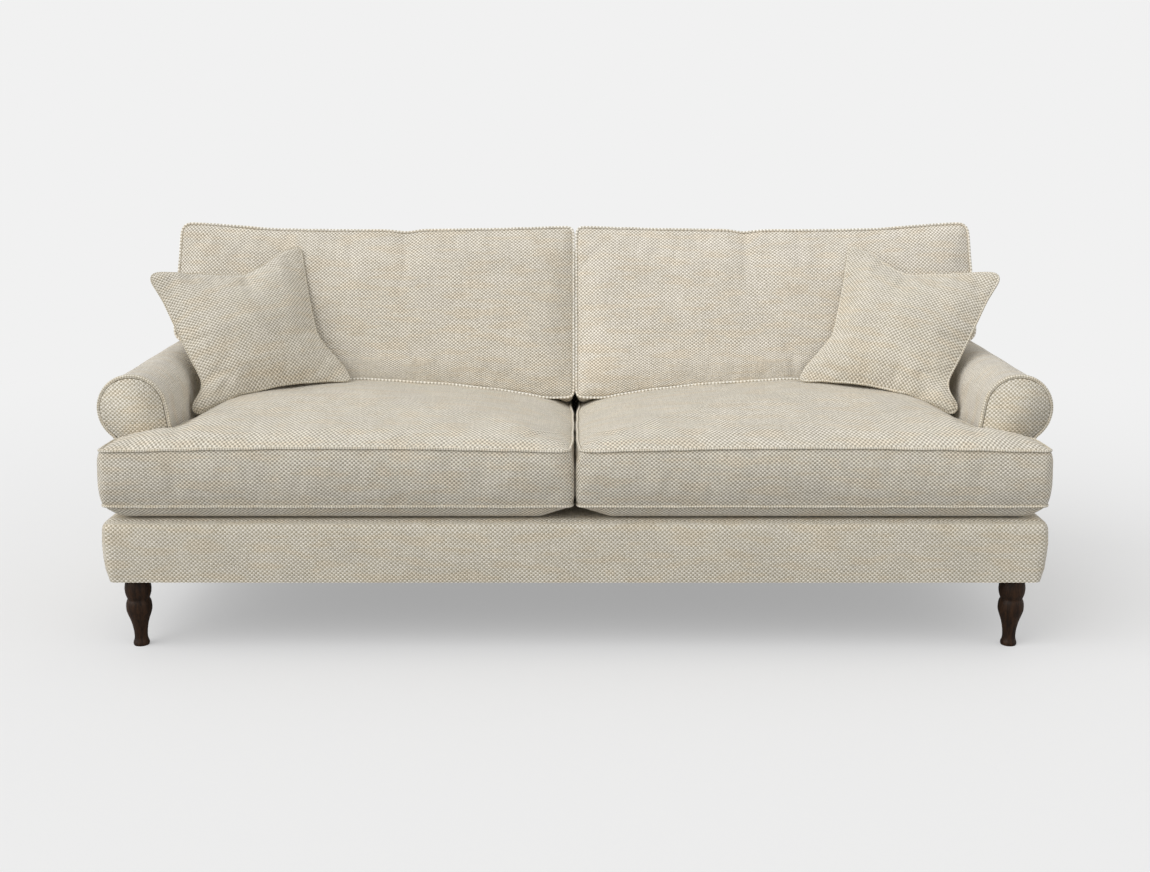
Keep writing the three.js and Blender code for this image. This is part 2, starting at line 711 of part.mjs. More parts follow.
// Seat cushion on the +X side: T-shaped in plan, with an ear in front of the arm
const seatInner = seatGap / 2 + seatBulge;
const seatOuter = sideFace - seatSideInset - seatBulge;
const seatRear = backY(deckTop) - seatRearClear - seatBulge;
const seatEarRear = armSetback - seatEarClear - seatBulge;
function seatCorners(weltHeight) {
  const armSide = armInnerX(weltHeight) - seatArmClear - seatBulge;
  return [
    [seatInner, seatBulge, seatCornerRadius, 8],
    [seatOuter, seatBulge, seatCornerRadius, 2],
    [seatOuter, seatEarRear, seatCornerRadius, 2],
    [armSide, seatEarRear, seatCornerRadius / 2, 5],
    [armSide, seatRear, seatCornerRadius, 7],
    [seatInner, seatRear, seatCornerRadius, 6],
  ];
}
const seatHighLoop = roundedLoop(seatCorners(seatWeltHigh));
const seatLowLoop = roundedLoop(seatCorners(seatWeltLow));
function seatTopZ(x, y) {
  const across = THREE.MathUtils.clamp((x - seatInner) / (seatOuter - seatInner), 0, 1);
  const bow = seatWeltBow * Math.sin(Math.PI * across);
  return seatWeltHigh + bow + seatCrown * fullness(edgeDistance(x, y, seatHighLoop), seatCrownReach);
}
const seatRest = deckTop + clear;
function seatUndersideZ(distance) {
  const share = 1 - Math.min(distance / seatUndersideReach, 1);
  return seatWeltLow - (seatWeltLow - seatRest) * Math.sqrt(1 - share ** 2);
}
const seatMiddleShare = 0.68;
const seatMiddle = new THREE.Vector2((seatInner + seatOuter) / 2, seatEarRear * seatMiddleShare);
const ringShares = [0.84, 0.68, 0.52, 0.36, 0.18];
const wallShares = [0.3, 0.7];
const faceInsetShares = [0.375, 1];
const undersideShares = [1, 0.43, 0.13];
function seatCushion() {
  const rings = [];
  for (const share of undersideShares) {
    const inset = share * seatUndersideReach;
    const loop = roundedLoop(insetCorners(seatCorners(seatWeltLow), inset));
    rings.push(loop.map((p) => v3(p.x, p.y, seatUndersideZ(inset))));
  }
  rings.push(seatLowLoop.map((p) => v3(p.x, p.y, seatWeltLow)));
  const bulged = (loop, share) => loop.map((p, i) => {
    const low = outwards(seatLowLoop, i, seatBulge);
    const high = outwards(seatHighLoop, i, seatBulge);
    const at = low.lerp(high, share);
    return v3(at.x, at.y, seatWeltLow + (seatTopZ(p.x, p.y) - seatWeltLow) * share);
  });
  for (const share of wallShares) rings.push(bulged(seatHighLoop, share));
  const crowned = (loop) => loop.map((p) => v3(p.x, p.y, seatTopZ(p.x, p.y)));
  rings.push(crowned(seatHighLoop));
  let loop = seatHighLoop;
  for (const share of faceInsetShares) {
    loop = roundedLoop(insetCorners(seatCorners(seatWeltHigh), share * faceInset));
    rings.push(crowned(loop));
  }
  for (const share of ringShares)
    rings.push(crowned(loop.map((p) => seatMiddle.clone().lerp(p, share))));
  const pole = (z) => v3(seatMiddle.x, seatMiddle.y, z);
  return closedSkin(rings, pole(seatRest), pole(seatTopZ(seatMiddle.x, seatMiddle.y)));
}
const seatWhole = seatCushion();

// Foam core, and the hollow that holds it, open to the rear where the zip closes the cover
function seatCoreShape(inset) {
  return shapeOf(insetCorners(seatCorners(seatWeltLow), inset).map(([x, y]) => [x, y]));
}
const seatCoreLow = seatRest + seatCoreRise;
const seatCoreHigh = seatCoreLow + seatCoreHeight;
const seatCore = upZ(seatCoreShape(seatCoreInset), seatCoreLow, seatCoreHigh);
const seatHollow = upZ(seatCoreShape(seatCoreInset - clear), seatCoreLow - clear, seatCoreHigh + clear);
const zipX = (seatInner + armInnerX(seatWeltLow)) / 2;
const seatZipMiddle = (seatCoreLow + seatCoreHigh) / 2;
function seatZipBlock(grow, front, rear) {
  const halfLength = zipLength / 2 + grow;
  const halfHeight = zipHeight / 2 + grow;
  const low = v3(zipX - halfLength, front, seatZipMiddle - halfHeight);
  return block(low, v3(zipX + halfLength, rear, seatZipMiddle + halfHeight));
}
const seatZipSlot = seatZipBlock(clear, seatRear - seatCoreInset - clear, seatRear + overrun);
const seatCover = cut(seatWhole, seatHollow, seatZipSlot);
addPair("seat_cushion_cover", seatCover, "fabric");
addPair("seat_cushion_core", seatCore, "foam");
addPair("seat_cushion_zip", seatZipBlock(0, seatRear - zipSunk - zipThickness, seatRear - zipSunk), "lining");

// Back cushion on the +X side: stands on the seat cushion, and its ear lies over the roll of the arm
const backCushionFrontY = backSeatDepth - backCushionDepth;
const backCushionLow = seatWeltHigh + backCushionStand;
const backCushionTop = backCushionLow + backCushionHeight;
const backCushionRearTop = backCushionTop - backCushionTopDrop;
const backInner = seatGap / 2 + backCushionBulge;
const backOuter = sideFace - backCushionSideInset - backCushionBulge;
const backEarLow = armRollHeight + armRollRadius + backCushionEarLift + backCushionBulge;
const backArmSide = armInnerX(armRollHeight) - backCushionArmClear - backCushionBulge;
function backCorners(low, top) {
  const r = backCushionCornerRadius;
  return [
    [backInner, low, r, 8],
    [backArmSide, low, r, 2],
    [backArmSide, backEarLow, r / 2, 2],
    [backOuter, backEarLow, r, 2],
    [backOuter, top, r, 8],
    [backInner, top, r, 5],
  ];
}
const backFrontCorners = backCorners(backCushionLow, backCushionTop);
const backRearCorners = backCorners(backCushionLow, backCushionRearTop);
const backFrontLoop = roundedLoop(backFrontCorners);
const backRearLoop = roundedLoop(backRearCorners);
const backLean = backCushionLean / backCushionHeight;
function backFaceY(x, z) {
  const belly = backCushionBelly * fullness(edgeDistance(x, z, backFrontLoop), backCushionBellyReach);
  return backCushionFrontY + (z - backCushionLow) * backLean - belly;
}
// The underside follows the crown of the seat: heights are squeezed towards the top
function onSeat(x, y, z, low, top) {
  const seat = Math.max(seatTopZ(x, Math.min(y, seatRear)) + pressedClear, low);
  return seat + (z - low) * ((top - seat) / (top - low));
}
function backFrontPoint(p) {
  const z = onSeat(p.x, backCushionFrontY, p.y, backCushionLow, backCushionTop);
  return v3(p.x, backFaceY(p.x, p.y), z);
}
function backRearPoint(p, lift) {
  const z = onSeat(p.x, seatRear, p.y, backCushionLow, backCushionRearTop);
  return v3(p.x, backY(z) - clear - lift, z);
}
const backMiddle = new THREE.Vector2((backInner + backOuter) / 2, (backEarLow + backCushionTop) / 2);
const backRearShares = [1, 0.32];
function backCushion() {
  const rings = [];
  for (const share of backRearShares) {
    const loop = roundedLoop(insetCorners(backRearCorners, share * backRearReach));
    rings.push(loop.map((p) => backRearPoint(p, (backEdgeThickness * (1 - share)) / 2)));
  }
  rings.push(backRearLoop.map((p) => backRearPoint(p, backEdgeThickness)));
  for (const share of wallShares)
    rings.push(backRearLoop.map((p, i) => {
      const rear = backRearPoint(p, backEdgeThickness);
      const front = backFrontPoint(backFrontLoop[i]);
      const out = outwards(backFrontLoop, i, backCushionBulge).sub(backFrontLoop[i]);
      return rear.lerp(front, share).add(v3(out.x, 0, out.y));
    }));
  rings.push(backFrontLoop.map(backFrontPoint));
  let loop = backFrontLoop;
  for (const share of faceInsetShares) {
    loop = roundedLoop(insetCorners(backFrontCorners, share * faceInset));
    rings.push(loop.map(backFrontPoint));
  }
  for (const share of ringShares)
    rings.push(loop.map((p) => backFrontPoint(backMiddle.clone().lerp(p, share))));
  return closedSkin(rings, backRearPoint(backMiddle, 0), backFrontPoint(backMiddle));
}
const seatRaised = seatWhole.clone().translate(0, 0, pressedClear);
const backWhole = cut(backCushion(), seatRaised);

const backFillOutline = (grow) => {
  const low = backCushionLow + backFillRise - grow;
  const top = backCushionLow + backFillRise + backFillHeight + grow;
  const front = (z) => backCushionFrontY + (z - backCushionLow) * backLean + backFillInset - grow;
  const rear = (z) => backY(z) - backFillInset + grow;
  return [[front(low), low], [rear(low), low], [rear(top), top], [front(top), top]];
};
const backFillX0 = backInner + backFillInset;
const backFillX1 = backArmSide - backFillInset;
const backFill = acrossX(backFillOutline(0), backFillX0, backFillX1);
const backHollow = acrossX(backFillOutline(clear), backFillX0 - clear, backFillX1 + clear);
const backZipX = (backFillX0 + backFillX1) / 2;
const backZipLow = backCushionLow + backZipRise;
function backZip(grow, near, far) {
  const outline = backSlice(backZipLow - grow, backZipLow + zipHeight + grow, near, far);
  return acrossX(outline, backZipX - zipLength / 2 - grow, backZipX + zipLength / 2 + grow);
}
const backZipSlot = backZip(clear, -backFillInset - clear, overrun);
const backCover = cut(backWhole, backHollow, backZipSlot);
addPair("back_cushion_cover", backCover, "fabric");
addPair("back_cushion_fill", backFill, "fibre");
addPair("back_cushion_zip", backZip(0, -zipSunk - zipThickness, -zipSunk), "lining");

// Scatter cushion: knife-edged, with sides drawn in between pointed corners and a dip in its top edge.
// The powers set how soon the sides draw in and how steeply the faces rise at the corners and the sides.
const pullPower = 0.8;
const dipPower = 4;
const cornerRisePower = 2.1;
const sideRisePower = 2.4;
const facePower = 0.72;
function pillow(size, thickness, dip, rim, perSide, shares) {
  const half = size / 2;
  const corners = [[-1, -1], [1, -1], [1, 1], [-1, 1]];
  const loop = corners.flatMap(([cx, cz], i) => {
    const [nx, nz] = corners[(i + 1) % 4];
    const edge = [];
    for (let k = 0; k < perSide; k++) {
      const t = k / perSide;
      const along = new THREE.Vector2(cx + (nx - cx) * t, cz + (nz - cz) * t).multiplyScalar(half);
      const inward = new THREE.Vector2(-(cx + nx) / 2, -(cz + nz) / 2);
      const topDip = i === 2 ? dip * Math.sin(Math.PI * t) ** dipPower : 0;
      edge.push(along.addScaledVector(inward, scatterPull * Math.sin(Math.PI * t) ** pullPower + topDip));
    }
    return edge;
  });
  const depthAt = (share, i) => {
    const t = (i % perSide) / perSide;
    const corner = Math.abs(2 * t - 1);
    const full = 1 - share ** (cornerRisePower + sideRisePower * (1 - corner));
    return rim / 2 + (thickness / 2 - rim / 2) * full ** facePower;
  };
  const ring = (share, way) => loop.map((p, i) => v3(p.x * share, -way * depthAt(share, i), p.y * share));
  const rings = [...shares.slice().reverse().map((s) => ring(s, -1)), ring(1, -1), ring(1, 1)];
  rings.push(...shares.map((s) => ring(s, 1)));
  return closedSkin(rings, v3(0, thickness / 2, 0), v3(0, -thickness / 2, 0));
}
const scatterX = armRollX - scatterFromArm;
const scatterY = backCushionFrontY - scatterForward;
const scatterZ = seatWeltHigh + scatterRise;
const pillowTurn = new THREE.Matrix4()
  .makeTranslation(scatterX, scatterY, scatterZ)
  .multiply(new THREE.Matrix4().makeRotationZ(-THREE.MathUtils.degToRad(scatterTurnDegrees)))
  .multiply(new THREE.Matrix4().makeRotationX(-THREE.MathUtils.degToRad(scatterLeanDegrees)))
  .multiply(new THREE.Matrix4().makeRotationY(THREE.MathUtils.degToRad(scatterRollDegrees)));
const coverShares = [0.95, 0.86, 0.72, 0.54, 0.3];
const padShares = [0.8, 0.45];
const coverSteps = 10;
const padSteps = 4;
const scatterSizes = [scatterSize, scatterThickness, scatterTopDip, scatterRim];
const scatterWhole = pillow(...scatterSizes, coverSteps, coverShares);
const padSize = scatterSize - 2 * scatterPadInset;
const padRim = scatterRim * 2;
function padShape(air) {
  return pillow(padSize + 2 * air, scatterPadThickness + air, 0, padRim + air, padSteps, padShares);
}
const padAir = 2 * clear;
const slitHalf = scatterSlitLength / 2;
const slitLow = v3(-slitHalf, -scatterRim / 2, -scatterSize / 2 - overrun);
const slit = block(slitLow, v3(slitHalf, scatterRim / 2, -padSize / 2 + scatterPull + padRim));
const scatterCover = cut(scatterWhole, padShape(padAir), slit).applyMatrix4(pillowTurn);
const backPressed = backWhole.clone().translate(0, -leanClear, 0);
const armPressed = armPadGeometry.clone().translate(-pressedClear, 0, pressedClear);
addPair("scatter_cushion_cover", cut(scatterCover, seatRaised, backPressed, armPressed), "fabric");
addPair("scatter_cushion_pad", padShape(0).applyMatrix4(pillowTurn), "fibre");

export default sofa;
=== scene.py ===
"""English roll arm sofa in cream basket weave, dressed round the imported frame. Sizes are in metres."""
import math

import bmesh
import bpy
import numpy as np
from mathutils import Matrix, Vector, noise
from mathutils.bvhtree import BVHTree


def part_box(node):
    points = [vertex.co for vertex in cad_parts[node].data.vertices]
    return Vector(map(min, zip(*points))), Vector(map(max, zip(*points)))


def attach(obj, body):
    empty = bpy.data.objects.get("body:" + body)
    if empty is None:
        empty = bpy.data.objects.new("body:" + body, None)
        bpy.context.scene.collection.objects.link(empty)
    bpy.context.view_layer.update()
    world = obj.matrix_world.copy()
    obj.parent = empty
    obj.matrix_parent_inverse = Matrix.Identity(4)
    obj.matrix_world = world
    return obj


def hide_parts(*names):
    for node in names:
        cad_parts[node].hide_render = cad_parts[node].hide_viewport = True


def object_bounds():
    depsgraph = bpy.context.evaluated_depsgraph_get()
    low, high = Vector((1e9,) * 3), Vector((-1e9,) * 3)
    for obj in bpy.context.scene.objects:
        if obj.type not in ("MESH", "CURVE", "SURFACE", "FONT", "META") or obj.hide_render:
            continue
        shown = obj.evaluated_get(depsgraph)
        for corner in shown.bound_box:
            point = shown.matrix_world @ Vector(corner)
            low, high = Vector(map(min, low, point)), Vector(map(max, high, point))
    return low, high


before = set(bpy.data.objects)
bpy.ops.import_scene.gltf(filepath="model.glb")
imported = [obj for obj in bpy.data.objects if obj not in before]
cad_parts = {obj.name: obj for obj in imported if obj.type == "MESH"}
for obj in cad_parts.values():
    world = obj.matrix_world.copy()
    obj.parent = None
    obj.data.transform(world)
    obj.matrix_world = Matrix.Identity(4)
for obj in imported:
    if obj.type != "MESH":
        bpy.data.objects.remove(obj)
cad_low, cad_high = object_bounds()
half_depth = cad_high.y
sides = {"right": 1, "left": -1}

# Sizes that the cloth pieces share with the frame
deck_top = 0.319
base_half = 1.103
base_bottom = 0.168
base_front = 0.016 - half_depth
base_round = 0.021
back_foot_y = 0.791 - half_depth
back_slope = math.tan(math.radians(12))
back_height = 0.853
timber_offset = 0.0186
outside_offset = 0.0869
roll_radius = 0.082
roll_x = 1.058
roll_z = 0.554
arm_foot_x = 0.942
arm_front = 0.155 - half_depth
sleeve_front = 0.1653 - half_depth
arm_cloth_front = sleeve_front - 0.0005
sleeve_wadding = 0.012
facing_cloth = 0.002
base_wadding = 0.005

seat_inner = 0.0048
seat_outer = 1.0992
seat_front = 0.004 - half_depth
seat_rear = 0.782 - half_depth
seat_ear_rear = 0.147 - half_depth
seat_welt_low = 0.356
seat_welt_high = 0.486
seat_bow = 0.009
seat_crown = 0.047
seat_tilt = 0.014 / 0.57
seat_under_reach = 0.06
seat_draw = 1.55
seat_arm_gap = 0.01
seat_corner_round = 0.02
seat_band_bulge = 0.008
seat_cloth_stretch = (1, 1, 1.14)

back_inner = 0.0038
back_outer = 1.085
back_low = 0.483
back_top = 0.941
back_rear_top = 0.895
back_front_y = 0.572 - half_depth
back_lean = 0.198 / 0.451
back_belly = 0.024
back_belly_reach = 0.24
back_ear_low = 0.643
back_depth = 0.15
back_arm_gap = 0.013
back_band_bulge = 0.005
back_band_hang = 0.022
back_edge_roll = 0.006
back_cloth_stretch = (1, 1.05, 1.13)

scatter_size = 0.42
scatter_thickness = 0.128
scatter_place = Vector((0.848, 0.524 - half_depth, 0.695))
scatter_turn = math.radians(24.6)
scatter_lean = math.radians(35.4)
scatter_roll = math.radians(8.5)
scatter_ease = 1.04

cloth_cell = 0.0052
weave_relief = 0.0011
thread_relief = 0.0006
weave_squeeze = 1.085
grid_step = 0.0135
scatter_step = 0.0085
seam_radius = 0.0034
arm_piping_radius = 0.0052
rest_gap = 0.0012
arm_gap = 0.003
middle_gap = 0.0008
scatter_gap = 0.005
on_seam = 1e-4


def back_y(z, offset=0.0):
    """Y of the padded front of the leaning back at a height, moved to the rear by an offset."""
    return back_foot_y + (z - deck_top) * back_slope + offset


foot_to_roll = Vector((roll_x - arm_foot_x, roll_z - deck_top))
arm_line_angle = math.atan2(foot_to_roll.y, foot_to_roll.x) + math.asin(roll_radius / foot_to_roll.length)
arm_touch_angle = arm_line_angle + math.pi / 2


def arm_touch(inset=0.0):
    """Where the straight inner side of the arm runs into the roll, in X and Z."""
    reach = roll_radius - inset
    return Vector((roll_x + reach * math.cos(arm_touch_angle), roll_z + reach * math.sin(arm_touch_angle)))


def arm_inner_x(z, inset=0.0):
    touch = arm_touch(inset)
    return touch.x - (touch.y - z) / math.tan(arm_line_angle)


# Materials


def add_node(tree, kind, inputs=None, **settings):
    """A shader node with its settings, and a value or a link for each named or numbered input."""
    made = tree.nodes.new("ShaderNode" + kind)
    for key, value in settings.items():
        setattr(made, key, value)
    for key, value in (inputs or {}).items():
        if isinstance(value, bpy.types.NodeSocket):
            tree.links.new(value, made.inputs[key])
        else:
            made.inputs[key].default_value = value
    return made


def sums(tree, operation, first, second=0.0, third=0.0):
    return add_node(tree, "Math", {0: first, 1: second, 2: third}, operation=operation).outputs[0]


def stretched(tree, vector, scale):
    return add_node(tree, "Mapping", {"Vector": vector, "Scale": scale}).outputs[0]


def cloudy(tree, vector, scale, detail=2.0, roughness=0.5):
    """Soft noise from 0 to 1, for uneven yarn, dye, timber and dust."""
    inputs = {"Vector": vector, "Scale": scale, "Detail": detail, "Roughness": roughness}
    return add_node(tree, "TexNoise", inputs).outputs["Fac"]


def ranged(tree, value, low, high, to_low=0.0, to_high=1.0):
    """Eases a value from one range into another."""
    inputs = {"Value": value, "From Min": low, "From Max": high, "To Min": to_low, "To Max": to_high}
    return add_node(tree, "MapRange", inputs, interpolation_type="SMOOTHSTEP").outputs[0]


def scaled(tree, vector, factor):
    return add_node(tree, "VectorMath", {0: vector, "Scale": factor}, operation="SCALE").outputs[0]


def blended(tree, factor, first, second, kind="MIX"):
    inputs = {0: factor, 6: first, 7: second}
    return add_node(tree, "Mix", inputs, data_type="RGBA", blend_type=kind).outputs[2]


def new_group(name, takes, gives):
    tree = bpy.data.node_groups.new(name, "ShaderNodeTree")
    for label, kind, value in takes:
        socket = tree.interface.new_socket(label, in_out="INPUT", socket_type="NodeSocket" + kind)
        if value is not None:
            socket.default_value = value
    for label, kind in gives:
        tree.interface.new_socket(label, in_out="OUTPUT", socket_type="NodeSocket" + kind)
    inlet = tree.nodes.new("NodeGroupInput")
    outlet = tree.nodes.new("NodeGroupOutput")
    return tree, inlet.outputs, outlet.inputs


def linear(red, green, blue):
    """A colour as it is seen, from 0 to 255, as the linear values that a shader takes."""
    seen = [c / 255 for c in (red, green, blue)]
    return [c / 12.92 if c <= 0.04045 else ((c + 0.055) / 1.055) ** 2.4 for c in seen] + [1.0]


def threads(tree, vector, wave):
    """The sine of each coordinate, at a wave number: positive on one thread and negative on the next."""
    parts = add_node(tree, "SeparateXYZ", {0: vector}).outputs
    return [sums(tree, "SINE", sums(tree, "MULTIPLY", part, wave)) for part in parts]


def make_basket_weave():
    """Cream yarns over and under each other in square cells, with warm and cool slubs and uneven dye."""
    takes = [
        ("Vector", "Vector", None), ("Cell", "Float", cloth_cell),
        ("Light", "Color", linear(244, 237, 221)), ("Shade", "Color", linear(163, 154, 134)),
        ("Warm", "Color", (1.004, 0.971, 0.93, 1)), ("Cool", "Color", (1.01, 1.01, 1.025, 1)),
    ]
    gives = [("Color", "Color"), ("Height", "Float"), ("Gloss", "Float")]
    tree, inlet, outlet = new_group("Basket weave", takes, gives)
    cells = scaled(tree, inlet["Vector"], sums(tree, "DIVIDE", 1.0, inlet["Cell"]))
    # The cells drift a little, as hand-drawn lines would
    drift = add_node(tree, "TexNoise", {"Vector": cells, "Scale": 0.16, "Detail": 2.0}).outputs["Color"]
    drift = add_node(tree, "VectorMath", {0: drift, 1: (0.5, 0.5, 0.5)}, operation="SUBTRACT").outputs[0]
    moved = add_node(tree, "VectorMath", {0: cells, 1: scaled(tree, drift, 0.9)}, operation="ADD").outputs[0]
    across, along, _ = threads(tree, moved, math.pi)
    checker = sums(tree, "MULTIPLY", across, along)
    over = ranged(tree, checker, -0.4, 0.34)
    yarn = cloudy(tree, moved, 0.8, 2.0)
    weft = cloudy(tree, stretched(tree, moved, (0.07, 0.95, 1.0)), 1.0, 3.0, 0.6)
    warp = cloudy(tree, stretched(tree, moved, (0.95, 0.07, 1.0)), 1.0, 3.0, 0.6)
    slub = cloudy(tree, stretched(tree, moved, (0.05, 0.2, 1.0)), 1.0, 1.0, 0.5)
    blotch = cloudy(tree, moved, 0.045, 3.0, 0.6)
    worn = sums(tree, "MULTIPLY", ranged(tree, yarn, 0.35, 0.8), 0.3)
    light = blended(tree, worn, inlet["Light"], inlet["Shade"])
    raised = sums(tree, "MULTIPLY", ranged(tree, warp, 0.4, 0.75), 0.22)
    shade = blended(tree, raised, inlet["Shade"], inlet["Light"])
    lift = sums(tree, "MULTIPLY_ADD", sums(tree, "SUBTRACT", weft, 0.5), 0.55, over)
    colour = blended(tree, add_node(tree, "Clamp", {0: lift}).outputs[0], shade, light)
    warm = ranged(tree, slub, 0.48, 0.64)
    cool = ranged(tree, slub, 0.48, 0.36)
    for mask, tint in ((warm, inlet["Warm"]), (cool, inlet["Cool"])):
        colour = blended(tree, mask, colour, blended(tree, 1.0, colour, tint, "MULTIPLY"))
    colour = scaled(tree, colour, ranged(tree, blotch, 0.3, 0.7, 0.955, 1.03))
    swell = sums(tree, "POWER", sums(tree, "ABSOLUTE", checker), 0.6)
    height = sums(tree, "MULTIPLY_ADD", over, 0.5, swell)
    height = sums(tree, "MULTIPLY_ADD", yarn, 0.35, height)
    tree.links.new(colour, outlet["Color"])
    tree.links.new(height, outlet["Height"])
    tree.links.new(ranged(tree, yarn, 0.2, 0.8, 0.86, 0.98), outlet["Gloss"])
    return tree


basket_weave = make_basket_weave()


def new_material(name, roughness=0.8, **constants):
    material = bpy.data.materials.new(name)
    material.use_nodes = True
    tree = material.node_tree
    shader = tree.nodes["Principled BSDF"]
    shader.inputs["Roughness"].default_value = roughness
    for key, value in constants.items():
        shader.inputs[key.replace("_", " ")].default_value = value
    return material, tree, shader


def feed(tree, shader, **links):
    """Links what changes over the surface to the named sockets of the shader."""
    for key, value in links.items():
        tree.links.new(value, shader.inputs[key.replace("_", " ")])


def emboss(tree, shader, height, strength, distance):
    """Raises the surface where the height is great, by up to a distance."""
    bump = add_node(tree, "Bump", {"Height": height, "Strength": strength, "Distance": distance})
    feed(tree, shader, Normal=bump.outputs[0])


def make_cloth(name, offset, tones, turn=0.0, cell=cloth_cell, relief=weave_relief, squeeze=weave_squeeze):
    """Basket-weave cloth on a piece's own cut: its UV map holds the flat cloth in metres."""
    material, tree, shader = new_material(name, Sheen_Weight=0.12, Sheen_Roughness=0.6)
    flat = add_node(tree, "UVMap", uv_map="cut").outputs[0]
    placing = {"Vector": flat, "Location": offset, "Rotation": (0, 0, turn), "Scale": (1, squeeze, 1)}
    placed = add_node(tree, "Mapping", placing).outputs[0]
    inputs = {"Vector": placed, "Cell": cell, "Light": linear(*tones[0]), "Shade": linear(*tones[1])}
    weave = add_node(tree, "Group", inputs, node_tree=basket_weave).outputs
    feed(tree, shader, Base_Color=weave["Color"], Roughness=weave["Gloss"])
    emboss(tree, shader, weave["Height"], 0.75, relief)
    return material


# The light and the dark yarn of each cloth, as their colours are seen. All are one cream cloth, kept as
# lighter and darker copies piece by piece: painted light and shade for how light falls on each piece. The
# seat's is darker, the left back cushion's darker than the right's, and the base's lighter.
seat_shaded_tones = (241, 234, 219), (156, 148, 130)
back_right_lit_tones = (253, 246, 232), (165, 156, 138)
back_left_shaded_tones = (249, 242, 227), (159, 150, 132)
scatter_tones = (240, 233, 218), (159, 151, 133)
arm_tones = (241, 235, 222), (161, 153, 138)
base_lit_tones = (246, 239, 224), (171, 162, 140)
cord_highlight_tones = (255, 251, 241), (192, 184, 166)
cloths = {
    "seat_right": make_cloth("seat cloth, right", (0.31, 0.12, 0), seat_shaded_tones),
    "seat_left": make_cloth("seat cloth, left", (1.93, 2.47, 0), seat_shaded_tones),
    "back_right": make_cloth("back cloth, right", (3.1, 0.6, 0), back_right_lit_tones),
    "back_left": make_cloth("back cloth, left", (5.7, 4.2, 0), back_left_shaded_tones),
    "scatter_right": make_cloth("scatter cloth, right", (7.3, 1.9, 0), scatter_tones),
    "scatter_left": make_cloth("scatter cloth, left", (8.8, 6.1, 0), scatter_tones),
    "arm": make_cloth("arm cloth", (2.2, 7.4, 0), arm_tones),
    "base": make_cloth("base cloth", (4.4, 3.3, 0), base_lit_tones),
    "piping": make_cloth("piping cloth", (0.7, 0.2, 0), base_lit_tones, turn=math.radians(45), cell=0.0042),
    # Two cells of the weave go round this cord, so that its seen half is one row of light and dark dots. Its
    # tones are much lighter than the cloth's: a painted highlight against the shade that falls under the
    # cord.
    "pale_piping": make_cloth(
        "piping cloth, back cushions", (0.7, 0.2009, 0), cord_highlight_tones, cell=0.0047, relief=0.0005, squeeze=0.44
    ),
}


def make_wood(name, tones, roughness, grain, ring_scale, shine=0.4):
    """Timber with its grain along one axis of the object, and streaked growth lines."""
    material, tree, shader = new_material(name, roughness, Specular_IOR_Level=shine)
    place = add_node(tree, "TexCoord").outputs["Object"]
    drawn_out = stretched(tree, place, grain)
    lines = cloudy(tree, drawn_out, ring_scale, 6.0, 0.6)
    fine = cloudy(tree, drawn_out, ring_scale * 6, 3.0, 0.7)
    streak = sums(tree, "MULTIPLY_ADD", fine, 0.4, sums(tree, "MULTIPLY", lines, 0.6))
    colour = blended(tree, ranged(tree, streak, 0.36, 0.64), *(linear(*tone) for tone in tones))
    dull = ranged(tree, streak, 0.3, 0.7, roughness * 1.15, roughness * 0.85)
    feed(tree, shader, Base_Color=colour, Roughness=dull)
    emboss(tree, shader, fine, 0.25, thread_relief)
    return material


beech_tones = (196, 158, 112), (222, 188, 142)
walnut = make_wood("walnut", ((24, 14, 7), (62, 40, 23)), 0.5, (1, 1, 0.1), 90, shine=0.22)
beech_x = make_wood("beech along the sofa", beech_tones, 0.62, (0.06, 1, 1), 60)
beech_y = make_wood("beech front to back", beech_tones, 0.62, (1, 0.06, 1), 60)
beech_z = make_wood("upright beech", beech_tones, 0.62, (1, 1, 0.06), 60)
plywood = make_wood("plywood", ((180, 142, 96), (212, 176, 128)), 0.66, (1, 0.1, 1), 40)


def make_plain_cloth(name, dark, light, pitch):
    """A close plain weave or web on object coordinates, for pieces inside and under the sofa."""
    material, tree, shader = new_material(name)
    place = add_node(tree, "TexCoord").outputs["Object"]
    x, y, z = threads(tree, place, math.pi / pitch)
    woven = sums(tree, "MULTIPLY", sums(tree, "ADD", x, z), y)
    dust = cloudy(tree, place, 14.0, 4.0)
    mask = sums(tree, "MULTIPLY_ADD", dust, 0.6, ranged(tree, woven, -1, 1, 0, 0.4))
    colour = blended(tree, mask, linear(*dark), linear(*light))
    feed(tree, shader, Base_Color=colour, Roughness=ranged(tree, dust, 0, 1, 0.95, 1.0))
    emboss(tree, shader, woven, 0.4, thread_relief)
    return material


lining = make_plain_cloth("platform cloth", (30, 28, 25), (62, 58, 52), 0.0016)
jute = make_plain_cloth("jute web", (112, 92, 62), (168, 146, 106), 0.003)
foam = make_plain_cloth("cushion foam", (222, 208, 168), (244, 234, 204), 0.0024)
fibre = make_plain_cloth("fibre filling", (228, 226, 220), (250, 249, 246), 0.006)
zip_coil = new_material("nylon coil", 0.4, Base_Color=linear(66, 59, 51))[0]


def make_zinc():
    material, tree, shader = new_material("zinc plate", 0.36, Metallic=1.0)
    place = add_node(tree, "TexCoord").outputs["Object"]
    stain = cloudy(tree, place, 160.0, 4.0)
    colour = blended(tree, stain, linear(140, 143, 146), linear(196, 199, 202))
    feed(tree, shader, Base_Color=colour, Roughness=ranged(tree, stain, 0, 1, 0.28, 0.48))
    return material


zinc = make_zinc()


# Making


